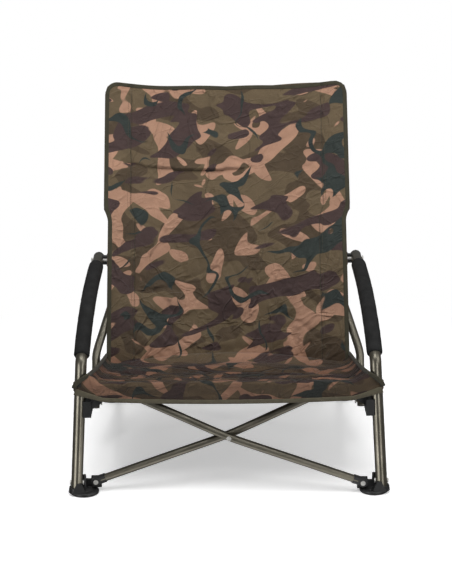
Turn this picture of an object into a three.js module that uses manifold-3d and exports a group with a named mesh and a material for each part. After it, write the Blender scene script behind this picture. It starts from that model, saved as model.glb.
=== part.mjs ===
// A low folding chair: two rigid side frames, crossed bars between them in front and at the rear,
// and a fabric seat and back slung between the frames. Millimetres, X across, Y back, Z up.
import * as THREE from "three";
import { mergeVertices } from "three/addons/utils/BufferGeometryUtils.js";
import Module from "manifold-3d";

const wasm = await Module();
wasm.setup();

// Fits
const clearance = 0.3; // between pieces that touch
const runningGap = 0.8; // between pieces that turn past each other
const overrun = 2; // of every cut past the face that it leaves

// Front legs and arms, one tube on each side
const footSpacing = 587; // between the leg tubes' centre lines at the floor
const armSpacing = 544; // between them at the arms
const legDiameter = 22;
const tubeWall = 1.2;
const legFloorGap = 6; // the tube's end above the floor
const legStraight = 264; // height where the tube starts to bend back
const armHeight = 356;
const armDepth = 462;
// The bend from leg to arm, as shares of the arm's depth and of its rise above the straight leg.
const armPathShares = [
  [0.065, 0.26],
  [0.11, 0.42],
  [0.175, 0.57],
  [0.25, 0.7],
  [0.345, 0.82],
  [0.46, 0.92],
  [0.62, 0.98],
  [0.83, 1.0],
  [1, 0.98],
];

// Foam grips and the arms' ends
const foamDiameter = 30;
const foamStart = 14; // along the tube, past the start of its bend
const foamEndInset = 85; // bare tube between the foam and the arm's end
const plugLength = 9;
const plugLip = 0.8;

// Back uprights
const uprightSpacing = 478; // between the centre lines below the arms
const uprightTopSpacing = 498;
const uprightFootSpacing = 547; // between them at their lower ends
const uprightDiameter = 17;
const uprightTop = 686;
const uprightBendDrop = 71; // from the arms down to where they start to bend outwards
const uprightBendShare = 0.473; // of the height under that, where the bend ends
const uprightLowEnd = 82;
const recline = THREE.MathUtils.degToRad(31);
const armOverhang = 22; // of the arm past the upright's centre line

// Brackets between arms and uprights
const bracketLength = 26;
const bracketWall = 4.5;
const boltDiameter = 6;
const boltHeadDiameter = 11;
const boltHead = 2.6;

// Crossed bars
const pinSpacing = 513; // between the foot pins of one pair
const pinHeight = 21;
const barPivotRise = 92.5; // of the centre rivet above the foot pins
const barEndSpacing = 404; // between the upper ends of one pair
const barEndDrop = 41; // of the upper ends' rise, under the seat's front height
const barDiameter = 15;
const barLapGap = 1.4; // between the two bars where they cross
const fittingWall = 1.2;
const fittingSocket = 20;
const fittingEyeDiameter = 18;
const barStart = 10; // of the tube from its pin
const capLength = 22;
const pinDiameter = 6;
const pinHeadDiameter = 9.6;
const pinHead = 2.2;

// Feet
const discDiameter = 56;
const discThickness = 9;
const discInset = 15; // of the disc's centre inwards from the leg
const discChamfer = 2.5;
const socketWall = 3.2;
const socketHeight = 15;
const lugThickness = 7;
const lugWidth = 20;
const gussetHeight = 25; // of the slanted rib in front of the leg
const gussetBase = 27;
const gussetTop = 9;
const gussetDepth = 9;
const legRivetHeight = 24;
const lugRise = 6; // of the lug above its pin
const bossDiameter = 7;
const bossHeight = 35;
const frontDiscSetback = 7; // of the front disc's centre behind the leg
const rearBlockHalfWidth = 14;
const rearBlockTail = 12;
const rearBlockNose = 34;
const rearBlockRise = 10;
const rearBlockDrop = 11;

// Rear legs, also the struts of the side frames
const rearLegDiameter = 15;
const rearLegSpacing = 506; // between the centre lines
const rearLegFront = 28; // their front end, behind the front legs
const rearLegFrontDrop = 53; // of their front end under the seat's front edge
const rearPinDepth = 575;
const rearPinHeight = 36;
const rearLegPinGap = 14; // of the tube's end from the rear pin
const rearBarLift = 20; // of the lower rear bar's centre line over the rear leg's

// Front blocks and rear saddles
const blockThickness = 15;
const blockBottomDrop = 70; // both under the seat's front edge
const blockTopDrop = 38;
const blockFront = 11; // its reach in front of the leg's centre line
const blockBack = 48;
const saddleArmWidth = 15;
const saddleArmThickness = 9;
const saddleLength = 26;
const spacerDiameter = 24;

// Fabric
const clothThickness = 2.4;
const sleeveWall = 1.6;
const backLowerWidth = 503;
const backUpperWidth = 521;
const backStepRise = 84; // of the step between the two widths above the arms
const backStepSpan = 30;
const backTopDip = 9; // of the top edge between its corners
const backTopOver = 7; // of the fabric above the upright's top plug
const backHollow = 68; // how far the slack back hangs behind the uprights at the seat
const backHollowTop = 7;
const backCornerDrop = 15; // rounding of the top corners
// The back's main folds: the middle of each across the back and up its slope, its slant in
// degrees, and its length, width and depth.
const backFolds = [
  { x: -60, s: 463, slant: 3, length: 150, width: 26, depth: 5 },
  { x: 20, s: 545, slant: -4, length: 140, width: 32, depth: 3 },
  { x: -60, s: 343, slant: -50, length: 100, width: 28, depth: 6 },
  { x: 90, s: 330, slant: 52, length: 110, width: 28, depth: 5 },
  { x: 15, s: 255, slant: 80, length: 90, width: 32, depth: -5 },
  { x: -125, s: 215, slant: -38, length: 95, width: 28, depth: 6 },
  { x: 130, s: 200, slant: 34, length: 95, width: 28, depth: 6 },
  { x: -5, s: 110, slant: 4, length: 150, width: 26, depth: 7 },
];
const seamHeight = 146; // lower edge of the back at its sides
const seatFrontHeight = 228;
const seatFrontReach = 4; // of the seat's front edge ahead of the leg's centre line
const seatBackGap = 2.6; // between the seat's rear edge and the back
const seatSag = 17;
const seatSeamRise = 34; // how far above the back's lower edge the seat meets it
const seatFoldDepth = 4.5;
const seatFolds = 4;
const seatFoldSlant = 0.35; // of a fold's spacing, between the middle and the side
const valanceHeight = 31;
const valanceGap = 3; // under the seat's front edge
const valanceSag = 8;
const valanceStandoff = 1.2;
const valanceFoldDepth = 1.6;
const valanceFolds = 7;
const webbingWidth = 15;
const webbingThickness = 4;

// Counts of sides and steps
const tubeSides = 12;
const boreSides = 8;
const smallSides = 12;
const discSides = 24;
const legSteps = 24;
const foamSteps = 13;
const uprightSteps = 14;
const barSteps = 6;
const clothAcross = 18;
const backAcross = 14;
const backUp = 21;
const seatDeep = 17;
const valanceAcross = 36;
const valanceUp = 2;

const frameColour = new THREE.Color(0x6e6a5a);
const foamColour = new THREE.Color(0x262626);
const plasticColour = new THREE.Color(0x1e1e1e);
const steelColour = new THREE.Color(0xc4c4c0);
const clothColour = new THREE.Color(0x66583e);
const webbingColour = new THREE.Color(0x45422f);

const frameFinish = { color: frameColour, roughness: 0.38, metalness: 0.7 };
const foamFinish = { color: foamColour, roughness: 0.95, metalness: 0 };
const plasticFinish = { color: plasticColour, roughness: 0.5, metalness: 0 };
const steelFinish = { color: steelColour, roughness: 0.25, metalness: 1 };
const clothFinish = { color: clothColour, roughness: 0.9, metalness: 0 };
const webbingFinish = { color: webbingColour, roughness: 0.85, metalness: 0 };

const chair = new THREE.Group();

function add(name, geometry, finish) {
  const mesh = new THREE.Mesh(geometry, new THREE.MeshStandardMaterial(finish));
  mesh.name = name;
  chair.add(mesh);
  return mesh;
}

// Solids
function toSolid(geometry) {
  const bare = new THREE.BufferGeometry();
  const source = geometry.index ? geometry.toNonIndexed() : geometry;
  bare.setAttribute("position", source.getAttribute("position"));
  const merged = mergeVertices(bare, 1e-3);
  return new wasm.Manifold(
    new wasm.Mesh({
      numProp: 3,
      vertProperties: merged.attributes.position.array,
      triVerts: new Uint32Array(merged.index.array),
    }),
  );
}

function toGeometry(solid) {
  const mesh = solid.getMesh();
  const geometry = new THREE.BufferGeometry();
  geometry.setAttribute("position", new THREE.BufferAttribute(mesh.vertProperties, 3));
  geometry.setIndex(new THREE.BufferAttribute(mesh.triVerts, 1));
  return geometry;
}

function join(...geometries) {
  return toGeometry(geometries.map(toSolid).reduce((a, b) => a.add(b)));
}

function cut(geometry, ...tools) {
  return toGeometry(tools.map(toSolid).reduce((a, b) => a.subtract(b), toSolid(geometry)));
}

// A straight round rod between two points.
function rod(from, to, radius, sides = smallSides) {
  const length = from.distanceTo(to);
  const direction = to.clone().sub(from).normalize();
  const geometry = new THREE.CylinderGeometry(radius, radius, length, sides);
  const turn = new THREE.Quaternion().setFromUnitVectors(new THREE.Vector3(0, 1, 0), direction);
  geometry.applyQuaternion(turn);
  const middle = from.clone().add(to).multiplyScalar(1 / 2);
  return geometry.translate(middle.x, middle.y, middle.z);
}

function box(low, high) {
  const size = high.clone().sub(low);
  const geometry = new THREE.BoxGeometry(Math.abs(size.x), Math.abs(size.y), Math.abs(size.z));
  const middle = low.clone().add(high).multiplyScalar(1 / 2);
  return geometry.translate(middle.x, middle.y, middle.z);
}

function circlePath(Kind, radius, sides) {
  const points = [];
  for (let i = 0; i < sides; i += 1) {
    const angle = (2 * Math.PI * i) / sides;
    points.push(new THREE.Vector2(radius * Math.cos(angle), radius * Math.sin(angle)));
  }
  return new Kind(points);
}

// A tube along a curve, solid when its bore is zero.
function tube(curve, radius, bore, steps, sides = tubeSides, holeSides = boreSides) {
  const section = circlePath(THREE.Shape, radius, sides);
  if (bore > 0) section.holes.push(circlePath(THREE.Path, bore, holeSides));
  return new THREE.ExtrudeGeometry(section, {
    steps,
    bevelEnabled: false,
    extrudePath: curve,
    curveSegments: 1,
  });
}

// The part of a curve between two lengths along it.
function stretch(curve, start, end, count) {
  const total = curve.getLength();
  const points = [];
  for (let i = 0; i <= count; i += 1) {
    points.push(curve.getPointAt((start + ((end - start) * i) / count) / total));
  }
  return new THREE.CatmullRomCurve3(points);
}

// A closed sheet of even thickness over a surface given by shares across and along it.
function sheet(surface, across, along, thickness) {
  const fine = 1e-4;
  const positions = [];
  for (const side of [1, -1]) {
    for (let j = 0; j <= along; j += 1) {
      for (let i = 0; i <= across; i += 1) {
        const u = i / across;
        const v = j / along;
        const point = surface(u, v);
        const du = surface(Math.min(u + fine, 1), v).sub(surface(Math.max(u - fine, 0), v));
        const dv = surface(u, Math.min(v + fine, 1)).sub(surface(u, Math.max(v - fine, 0)));
        const normal = du.cross(dv).normalize();
        point.addScaledVector(normal, (side * thickness) / 2);
        positions.push(point.x, point.y, point.z);
      }
    }
  }
  const row = across + 1;
  const layer = row * (along + 1);
  const faces = [];
  const quad = (a, b, c, d) => faces.push(a, b, c, a, c, d);
  for (let j = 0; j < along; j += 1) {
    for (let i = 0; i < across; i += 1) {
      const a = j * row + i;
      quad(a, a + 1, a + row + 1, a + row);
      quad(layer + a, layer + a + row, layer + a + row + 1, layer + a + 1);
    }
  }
  for (let i = 0; i < across; i += 1) {
    const last = along * row + i;
    quad(layer + i, layer + i + 1, i + 1, i);
    quad(last, last + 1, layer + last + 1, layer + last);
  }
  for (let j = 0; j < along; j += 1) {
    const a = j * row;
    const b = a + across;
    quad(a, a + row, layer + a + row, layer + a);
    quad(b + row, b, layer + b, layer + b + row);
  }
  const geometry = new THREE.BufferGeometry();
  geometry.setAttribute("position", new THREE.BufferAttribute(new Float32Array(positions), 3));
  geometry.setIndex(faces);
  return geometry;
}

const at = (x, y, z) => new THREE.Vector3(x, y, z);
const radiusOf = (diameter) => diameter / 2;
const uprightBendTop = armHeight - uprightBendDrop;
const uprightBendBottom = THREE.MathUtils.lerp(uprightLowEnd, uprightBendTop, uprightBendShare);
const barEndRise = seatFrontHeight - barEndDrop;
const rearLegFrontHeight = seatFrontHeight - rearLegFrontDrop;
const blockBottom = seatFrontHeight - blockBottomDrop;
const blockTop = seatFrontHeight - blockTopDrop;
// The corner radius of a faceted bore whose flats clear a round of this radius.
const roundBore = (radius) => radius / Math.cos(Math.PI / tubeSides);

// Side frames. side is -1 on the left and 1 on the right.
const legRadius = radiusOf(legDiameter);
const valanceOffset = legRadius + valanceStandoff + clothThickness / 2;
const legLean = (footSpacing - armSpacing) / 2 / armHeight;
const legX = (height) => footSpacing / 2 - legLean * height;

function legCurve(side) {
  const rise = armHeight - legStraight;
  const points = [];
  // Two points close together end the straight part.
  for (const z of [legFloorGap, (legFloorGap + legStraight) / 2, legStraight - legRadius, legStraight]) {
    points.push(at(side * legX(z), 0, z));
  }
  for (const [depthShare, riseShare] of armPathShares) {
    const z = legStraight + rise * riseShare;
    points.push(at(side * legX(z), armDepth * depthShare, z));
  }
  return new THREE.CatmullRomCurve3(points);
}

// The uprights' line leans back by the recline and passes just behind the end of the arm.
const uprightAxis = at(0, Math.sin(recline), Math.cos(recline));
const uprightFront = at(0, -Math.cos(recline), Math.sin(recline));
const uprightRadius = radiusOf(uprightDiameter);
const uprightBase = armDepth - armOverhang; // depth of the line at the arm's height
const uprightY = (z) => uprightBase + (z - armHeight) * Math.tan(recline);

// Half the distance between the uprights, which spread a little towards their tops.
function uprightX(z) {
  const share = Math.max(0, (z - uprightBendTop) / (uprightTop - uprightBendTop));
  return THREE.MathUtils.lerp(uprightSpacing, uprightTopSpacing, share) / 2;
}

function uprightCurve(side) {
  const lowX = uprightFootSpacing / 2;
  const middleHeight = (uprightBendTop + uprightBendBottom) / 2;
  const halfHeight = (uprightTop + uprightBendTop) / 2;
  const heights = [
    [uprightTop, uprightX(uprightTop)],
    [halfHeight, uprightX(halfHeight)],
    [uprightBendTop + uprightDiameter, uprightX(uprightBendTop + uprightDiameter)],
    [uprightBendTop, uprightX(uprightBendTop)],
    [middleHeight, (uprightX(uprightBendTop) + lowX) / 2],
    [uprightBendBottom, lowX],
    [uprightBendBottom - uprightDiameter, lowX],
    [uprightLowEnd, lowX],
  ];
  return new THREE.CatmullRomCurve3(heights.map(([z, x]) => at(side * x, uprightY(z), z)));
}

// The rear legs slope down to the rear feet, and the rear bars lie in a plane over them.
const rearFall = (rearLegFrontHeight - rearPinHeight) / (rearPinDepth - rearLegFront);
const rearSlope = Math.atan(rearFall);
const rearUp = at(0, -Math.cos(rearSlope), Math.sin(rearSlope)); // along the rear legs, upwards
const rearNormal = at(0, Math.sin(rearSlope), Math.cos(rearSlope));
const rearLegRadius = radiusOf(rearLegDiameter);
const rearPoint = (x, up, lift) =>
  at(x, rearPinDepth, rearPinHeight).addScaledVector(rearUp, up).addScaledVector(rearNormal, lift);
const rearLegX = rearLegSpacing / 2;
const rearLegZ = (y) => rearPinHeight + (rearPinDepth - y) * rearFall;

// The webbing of the seat's edges runs inside the legs and the uprights.
const webbingHalf = webbingThickness / 2;
const webFrontZ = seatFrontHeight - webbingWidth / 2;
const webFrontX = legX(webFrontZ) - legRadius - webbingHalf - clearance * 2;
const webBackZ = seamHeight + webbingWidth / 2;
const webBackX = uprightFootSpacing / 2 - uprightRadius - webbingHalf - clearance * 2;

const barRadius = radiusOf(barDiameter);
const barPitch = barDiameter + barLapGap; // between the planes of the two bars of a pair
const pinRadius = radiusOf(pinDiameter);
const eyeRadius = radiusOf(fittingEyeDiameter);
const capRadius = barRadius + clearance + fittingWall;

// Each pair of bars lies in its own plane. place(x, up, lift) gives a point there.
const pairs = {
  front: {
    place: (x, up, lift) => at(x, lift, pinHeight + up),
    normal: at(0, 1, 0),
    // The bar pinned at the right foot lies in front.
    lift: { left: barPitch, right: 0 },
    headSide: -1,
  },
  rear: {
    place: rearPoint,
    normal: rearNormal,
    lift: { left: rearBarLift + barPitch, right: rearBarLift },
    headSide: 1,
  },
};

const sides = { left: -1, right: 1 };

for (const [name, side] of Object.entries(sides)) {
  const path = legCurve(side);
  const pathLength = path.getLength();
  const armEnd = path.getPointAt(1);
  const bore = legRadius - tubeWall;

  // The bolt crosses the arm near its end, then the bracket and the upright.
  const boltZ = armEnd.z;
  const boltY = uprightY(boltZ);
  const boltRadius = radiusOf(boltDiameter);
  const armX = legX(boltZ);
  const headRadius = radiusOf(boltHeadDiameter);
  const clipRadius = uprightRadius + clearance + bracketWall;
  const boltOutX = armX + legRadius + runningGap;
  const boltInX = uprightX(boltZ) - clipRadius - clearance;
  const boltOut = at(side * boltOutX, boltY, boltZ);
  const boltIn = at(side * boltInX, boltY, boltZ);
  const boltPast = at(side * (boltOutX + overrun), boltY, boltZ);
  const boltPastIn = at(side * (boltInX - overrun), boltY, boltZ);
  const boltHole = rod(boltPast, boltPastIn, boltRadius + clearance);

  // Rivet through the leg, just above the front foot's socket.
  const rivetZ = legRivetHeight;
  const rivetX = legX(rivetZ);
  const socketRadius = legRadius + clearance + socketWall;
  const rivetReach = legRadius + clearance;
  const rivetHole = rod(
    at(side * (rivetX - rivetReach - overrun), 0, rivetZ),
    at(side * (rivetX + rivetReach + overrun), 0, rivetZ),
    pinRadius + clearance,
  );

  // Leg and arm
  const legTube = tube(path, legRadius, bore, legSteps);
  add(`${name}_leg_arm_tube`, cut(legTube, boltHole, rivetHole), frameFinish);
  const foamFrom = path.getLength() - armLength(path) + foamStart;
  const foamPath = stretch(path, foamFrom, pathLength - foamEndInset, foamSteps);
  const foam = tube(foamPath, radiusOf(foamDiameter), 0, foamSteps);
  const legClear = tube(path, legRadius + clearance, 0, legSteps);
  add(`${name}_arm_foam`, cut(foam, legClear), foamFinish);

  // Rounded plug over the arm's end
  const plugRadius = legRadius + plugLip;
  const plugProfile = [new THREE.Vector2(0, 0), new THREE.Vector2(plugRadius, 0)];
  const plugSteps = 5;
  for (let i = 0; i <= plugSteps; i += 1) {
    const angle = (Math.PI / 2) * (i / plugSteps);
    const round = new THREE.Vector2(
      i === plugSteps ? 0 : plugRadius * Math.cos(angle),
      plugLength / 3 + ((plugLength * 2) / 3) * Math.sin(angle),
    );
    plugProfile.push(round);
  }
  const plug = new THREE.LatheGeometry(plugProfile, smallSides);
  const armDirection = path.getTangentAt(1);
  plug.applyQuaternion(
    new THREE.Quaternion().setFromUnitVectors(at(0, 1, 0), armDirection),
  );
  const plugAt = armEnd.clone().addScaledVector(armDirection, clearance);
  plug.translate(plugAt.x, plugAt.y, plugAt.z);
  add(`${name}_arm_end_plug`, plug, plasticFinish);

  // Upright, with the bolt hole at its lower end
  const upright = uprightCurve(side);
  const lowX = uprightFootSpacing / 2;
  const crossZ = rearCrossing();
  const crossY = uprightY(crossZ);
  const lowBoltOut = side * (lowX + uprightRadius + runningGap);
  const lowBoltIn = side * (rearLegX - rearLegRadius - clearance);
  const lowBoltHole = rod(
    at(lowBoltOut + side * overrun, crossY, crossZ),
    at(lowBoltIn - side * overrun, crossY, crossZ),
    boltRadius + clearance,
  );
  const uprightTube = tube(upright, uprightRadius, uprightRadius - tubeWall, uprightSteps);
  add(`${name}_upright`, cut(uprightTube, lowBoltHole, boltHole), frameFinish);
  const top = upright.getPointAt(0).addScaledVector(uprightAxis, clearance);
  const cap = rod(top, top.clone().addScaledVector(uprightAxis, plugLength / 2), uprightRadius, tubeSides);
  add(`${name}_upright_cap`, cap, plasticFinish);
  const boltNut = lowBoltIn - side * boltHead;
  const boltCap = lowBoltOut + side * boltHead;
  const lowBolt = join(
    rod(at(boltNut, crossY, crossZ), at(boltCap, crossY, crossZ), boltRadius),
    rod(at(lowBoltOut, crossY, crossZ), at(boltCap, crossY, crossZ), headRadius),
    rod(at(lowBoltIn, crossY, crossZ), at(boltNut, crossY, crossZ), headRadius),
  );
  add(`${name}_upright_bolt`, lowBolt, steelFinish);

  // Spacer between the upright and the rear leg
  const spacerOuter = side * (lowX - uprightRadius - clearance);
  const spacerInner = side * (rearLegX + rearLegRadius + clearance);
  const spacer = rod(
    at(spacerOuter, crossY, crossZ),
    at(spacerInner, crossY, crossZ),
    radiusOf(spacerDiameter),
  );
  add(`${name}_upright_spacer`, cut(spacer, lowBoltHole), plasticFinish);

  // Bracket: a clip round the outer and rear part of the upright, with a lug beside the arm
  const bracketAt = at(side * uprightX(boltZ), boltY, boltZ);
  const clipHalf = uprightAxis.clone().multiplyScalar(bracketLength / 2);
  const clip = rod(bracketAt.clone().sub(clipHalf), bracketAt.clone().add(clipHalf), clipRadius);
  const lug = box(
    at(side * uprightX(boltZ), boltY, boltZ - headRadius - bracketWall),
    at(side * (armX - legRadius / 2), boltY + clipRadius, boltZ + headRadius + bracketWall / 2),
  );
  const uprightClear = tube(upright, uprightRadius + clearance, 0, uprightSteps);
  const frontClear = new THREE.BoxGeometry(uprightSpacing / 2, armDepth, armDepth);
  frontClear.applyMatrix4(new THREE.Matrix4().makeRotationX(-recline));
  const clearFrom = uprightRadius - uprightRadius / 2;
  const frontAt = bracketAt.clone().addScaledVector(uprightFront, armDepth / 2 + clearFrom);
  frontClear.translate(frontAt.x, frontAt.y, frontAt.z);
  const bracket = cut(join(clip, lug), frontClear, legClear, uprightClear, boltHole);
  add(`${name}_arm_bracket`, bracket, plasticFinish);
  const boltTip = boltOut.clone().add(at(side * boltHead, 0, 0));
  const boltTail = boltIn.clone().sub(at(side * boltHead, 0, 0));
  const armBolt = join(
    rod(boltTail, boltTip, boltRadius),
    rod(boltOut, boltTip, headRadius),
    rod(boltTail, boltIn, headRadius),
  );
  add(`${name}_arm_bolt`, armBolt, steelFinish);

  // Rear leg
  const legFrontEnd = at(side * rearLegX, rearLegFront, rearLegFrontHeight);
  const legRearEnd = rearPoint(side * rearLegX, rearLegPinGap, 0);
  const rearLine = new THREE.LineCurve3(legFrontEnd, legRearEnd);
  const blockBoltY = rearLegFront + boltDiameter * 2;
  const blockBoltZ = rearLegZ(blockBoltY);
  const blockInner = rearLegX + rearLegRadius + clearance;
  const blockBoltOut = side * (blockInner + blockThickness + clearance);
  const blockBoltHole = rod(
    at(blockBoltOut + side * overrun, blockBoltY, blockBoltZ),
    at(lowBoltIn - side * overrun, blockBoltY, blockBoltZ),
    boltRadius + clearance,
  );
  const rearTube = tube(rearLine, rearLegRadius, rearLegRadius - tubeWall, 1);
  add(`${name}_rear_leg`, cut(rearTube, lowBoltHole, blockBoltHole), frameFinish);
  const blockBolt = join(
    rod(at(boltNut, blockBoltY, blockBoltZ), at(blockBoltOut, blockBoltY, blockBoltZ), boltRadius),
    rod(at(lowBoltIn, blockBoltY, blockBoltZ), at(boltNut, blockBoltY, blockBoltZ), headRadius),
    rod(
      at(blockBoltOut, blockBoltY, blockBoltZ),
      at(blockBoltOut + side * boltHead, blockBoltY, blockBoltZ),
      headRadius,
    ),
  );
  add(`${name}_block_bolt`, blockBolt, steelFinish);

  // Front block, with the arm that carries the end of the opposite bar
  const far = name === "left" ? "right" : "left";
  const barLift = pairs.front.lift[far];
  const barEndZ = pinHeight + barEndRise;
  // The saddle's top follows the underside of the bar that rests on it.
  const endSlope = (barEndRise - barPivotRise) / (barEndSpacing / 2);
  const armTopZ = barEndZ - capRadius * Math.hypot(1, endSlope) - clearance * 2;
  const block = box(
    at(side * blockInner, -blockFront, blockBottom),
    at(side * (blockInner + blockThickness), blockBack, blockTop),
  );
  // The arm leaves the block at a slant and turns level at its knee.
  const kneeX = blockInner - saddleArmWidth * 1.5;
  const saddleRootLow = blockBottom + saddleArmThickness * 1.5;
  const saddleRootHigh = blockTop - clearance;
  const armShape = new THREE.Shape([
    new THREE.Vector2(blockInner + clearance, saddleRootLow),
    new THREE.Vector2(blockInner + clearance, saddleRootHigh),
    new THREE.Vector2(kneeX, armTopZ),
    new THREE.Vector2(barEndSpacing / 2, armTopZ),
    new THREE.Vector2(barEndSpacing / 2 - saddleArmThickness, armTopZ - saddleArmThickness * endSlope),
    new THREE.Vector2(barEndSpacing / 2 - saddleArmThickness, armTopZ - saddleArmThickness),
    new THREE.Vector2(kneeX, armTopZ - saddleArmThickness),
  ]);
  const saddleArm = new THREE.ExtrudeGeometry(armShape, {
    depth: saddleArmWidth,
    bevelEnabled: false,
  });
  const armMatrix = new THREE.Matrix4().makeBasis(at(side, 0, 0), at(0, 0, 1), at(0, -side, 0));
  saddleArm.applyMatrix4(armMatrix);
  saddleArm.translate(0, barLift + (side * saddleArmWidth) / 2, 0);
  const armRoot = box(
    at(side * (blockInner - overrun), barLift - saddleArmWidth / 2, saddleRootLow),
    at(side * (blockInner + overrun), barLift + saddleArmWidth / 2, saddleRootHigh),
  );
  const rearLegClear = tube(rearLine, rearLegRadius + clearance, 0, 1);
  const frontBlock = cut(join(block, armRoot, saddleArm), legClear, blockBoltHole, rearLegClear);
  add(`${name}_front_block`, frontBlock, plasticFinish);

  // Rear saddle, a clip on the rear leg that carries the end of a rear bar
  const rearEndLift = pairs.rear.lift[far];
  const saddleTop = rearEndLift - capRadius - clearance;
  const saddle = new THREE.BoxGeometry(
    blockThickness * 2 + rearLegDiameter,
    saddleLength,
    saddleTop + rearLegRadius + bracketWall,
  );
  saddle.applyMatrix4(new THREE.Matrix4().makeRotationX(-rearSlope));
  const saddleAt = rearPoint(
    side * (rearLegX - blockThickness / 2),
    barEndRise - capLength / 2,
    (saddleTop - rearLegRadius - bracketWall) / 2,
  );
  saddle.translate(saddleAt.x, saddleAt.y, saddleAt.z);
  add(`${name}_rear_saddle`, cut(saddle, rearLegClear), plasticFinish);

  // Front foot
  const discX = side * (footSpacing / 2 - discInset);
  const frontDisc = disc(discX, frontDiscSetback);
  const socket = rod(
    at(side * legX(discThickness / 2), 0, discThickness / 2),
    at(side * legX(socketHeight), 0, socketHeight),
    socketRadius,
  );
  const pinX = side * (pinSpacing / 2);
  const lugFront = pairs.front.lift[name] + barRadius + runningGap;
  const pinLug = box(
    at(pinX - lugWidth / 2, lugFront, discThickness / 2),
    at(pinX + lugWidth / 2, lugFront + lugThickness, pinHeight + lugRise),
  );
  const web = box(
    at(side * legX(pinHeight), lugFront, discThickness / 2),
    at(pinX, lugFront + lugThickness, pinHeight),
  );
  const bossY = frontDiscSetback + bossDiameter;
  const boss = rod(
    at(discX, bossY, discThickness / 2),
    at(discX, bossY, bossHeight),
    radiusOf(bossDiameter),
  );
  const gussetX = legX(discThickness) - legRadius / 2;
  const gussetShape = new THREE.Shape([
    new THREE.Vector2(gussetX - gussetBase / 2, discThickness / 2),
    new THREE.Vector2(gussetX + gussetBase / 2, discThickness / 2),
    new THREE.Vector2(gussetX + gussetTop / 2, gussetHeight),
    new THREE.Vector2(gussetX - gussetTop / 2, gussetHeight),
  ]);
  const gusset = new THREE.ExtrudeGeometry(gussetShape, { depth: gussetDepth, bevelEnabled: false });
  gusset.applyMatrix4(new THREE.Matrix4().makeBasis(at(side, 0, 0), at(0, 0, 1), at(0, -side, 0)));
  const gussetBack = clearance - legRadius / 2;
  gusset.translate(0, side > 0 ? gussetBack : gussetBack - gussetDepth, 0);
  const frontPinHead = pairs.front.lift[name] - barRadius - runningGap;
  const frontPinHole = rod(
    at(pinX, frontPinHead - overrun, pinHeight),
    at(pinX, lugFront + lugThickness + overrun, pinHeight),
    pinRadius + clearance,
  );
  const frontFoot = cut(
    join(frontDisc, socket, pinLug, web, boss, gusset),
    legClear,
    frontPinHole,
    rivetHole,
  );
  add(`${name}_front_foot`, frontFoot, plasticFinish);
  const frontPin = join(
    rod(
      at(pinX, frontPinHead - pinHead, pinHeight),
      at(pinX, lugFront + lugThickness + pinHead, pinHeight),
      pinRadius,
    ),
    rod(
      at(pinX, frontPinHead - pinHead, pinHeight),
      at(pinX, frontPinHead, pinHeight),
      radiusOf(pinHeadDiameter),
    ),
    rod(
      at(pinX, lugFront + lugThickness + clearance, pinHeight),
      at(pinX, lugFront + lugThickness + clearance + pinHead, pinHeight),
      radiusOf(pinHeadDiameter),
    ),
  );
  add(`${name}_front_pin`, frontPin, steelFinish);
  const rivet = join(
    rod(
      at(side * (rivetX - rivetReach - pinHead), 0, rivetZ),
      at(side * (rivetX + rivetReach + pinHead), 0, rivetZ),
      pinRadius,
    ),
    rod(
      at(side * (rivetX + rivetReach), 0, rivetZ),
      at(side * (rivetX + rivetReach + pinHead), 0, rivetZ),
      radiusOf(pinHeadDiameter),
    ),
    rod(
      at(side * (rivetX - rivetReach - pinHead), 0, rivetZ),
      at(side * (rivetX - rivetReach), 0, rivetZ),
      radiusOf(pinHeadDiameter),
    ),
  );
  add(`${name}_leg_rivet`, rivet, steelFinish);

  // Rear foot
  const rearDisc = disc(pinX, rearPinDepth);
  const rearBlock = new THREE.BoxGeometry(
    rearBlockHalfWidth * 2,
    rearBlockTail + rearBlockNose,
    rearBlockRise + rearBlockDrop,
  );
  rearBlock.applyMatrix4(new THREE.Matrix4().makeRotationX(-rearSlope));
  const rearBlockAt = rearPoint(
    pinX,
    (rearBlockNose - rearBlockTail) / 2,
    (rearBlockRise - rearBlockDrop) / 2,
  );
  rearBlock.translate(rearBlockAt.x, rearBlockAt.y, rearBlockAt.z);
  const neck = rod(
    at(pinX, rearPinDepth, discThickness / 2),
    at(pinX, rearPinDepth, rearPinHeight),
    socketRadius,
  );
  const rearLift = pairs.rear.lift[name];
  const pinFoot = rearPoint(pinX, 0, -rearBlockDrop / 2);
  const bossTop = rearPoint(pinX, 0, rearLift - barRadius - runningGap);
  const rearBoss = rod(pinFoot, bossTop, eyeRadius);
  const rearPinTop = rearLift + barRadius + runningGap + pinHead;
  const rearPinHole = rod(pinFoot, rearPoint(pinX, 0, rearPinTop + overrun), pinRadius + clearance);
  const rearFoot = cut(join(rearDisc, rearBlock, neck, rearBoss), rearLegClear, rearPinHole);
  add(`${name}_rear_foot`, rearFoot, plasticFinish);
  const rearPin = join(
    rod(
      rearPoint(pinX, 0, -rearBlockDrop / 2 + clearance),
      rearPoint(pinX, 0, rearPinTop),
      pinRadius,
    ),
    rod(
      rearPoint(pinX, 0, rearPinTop - pinHead),
      rearPoint(pinX, 0, rearPinTop),
      radiusOf(pinHeadDiameter),
    ),
  );
  add(`${name}_rear_pin`, rearPin, steelFinish);

  // Webbing along the seat's edge, from the front leg to the upright
  const webbing = box(
    at(-webbingHalf, 0, -webbingWidth / 2),
    at(webbingHalf, 1, webbingWidth / 2),
  );
  const webFrom = at(side * webFrontX, valanceOffset + clothThickness, webFrontZ);
  const webTo = at(side * webBackX, uprightY(webBackZ), webBackZ);
  const webAlong = webTo.clone().sub(webFrom);
  const shear = new THREE.Matrix4().set(
    1, webAlong.x, 0, webFrom.x,
    0, webAlong.y, 0, webFrom.y,
    0, webAlong.z, 1, webFrom.z,
    0, 0, 0, 1,
  );
  webbing.applyMatrix4(shear);
  add(`${name}_seat_webbing`, webbing, webbingFinish);
}

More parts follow.
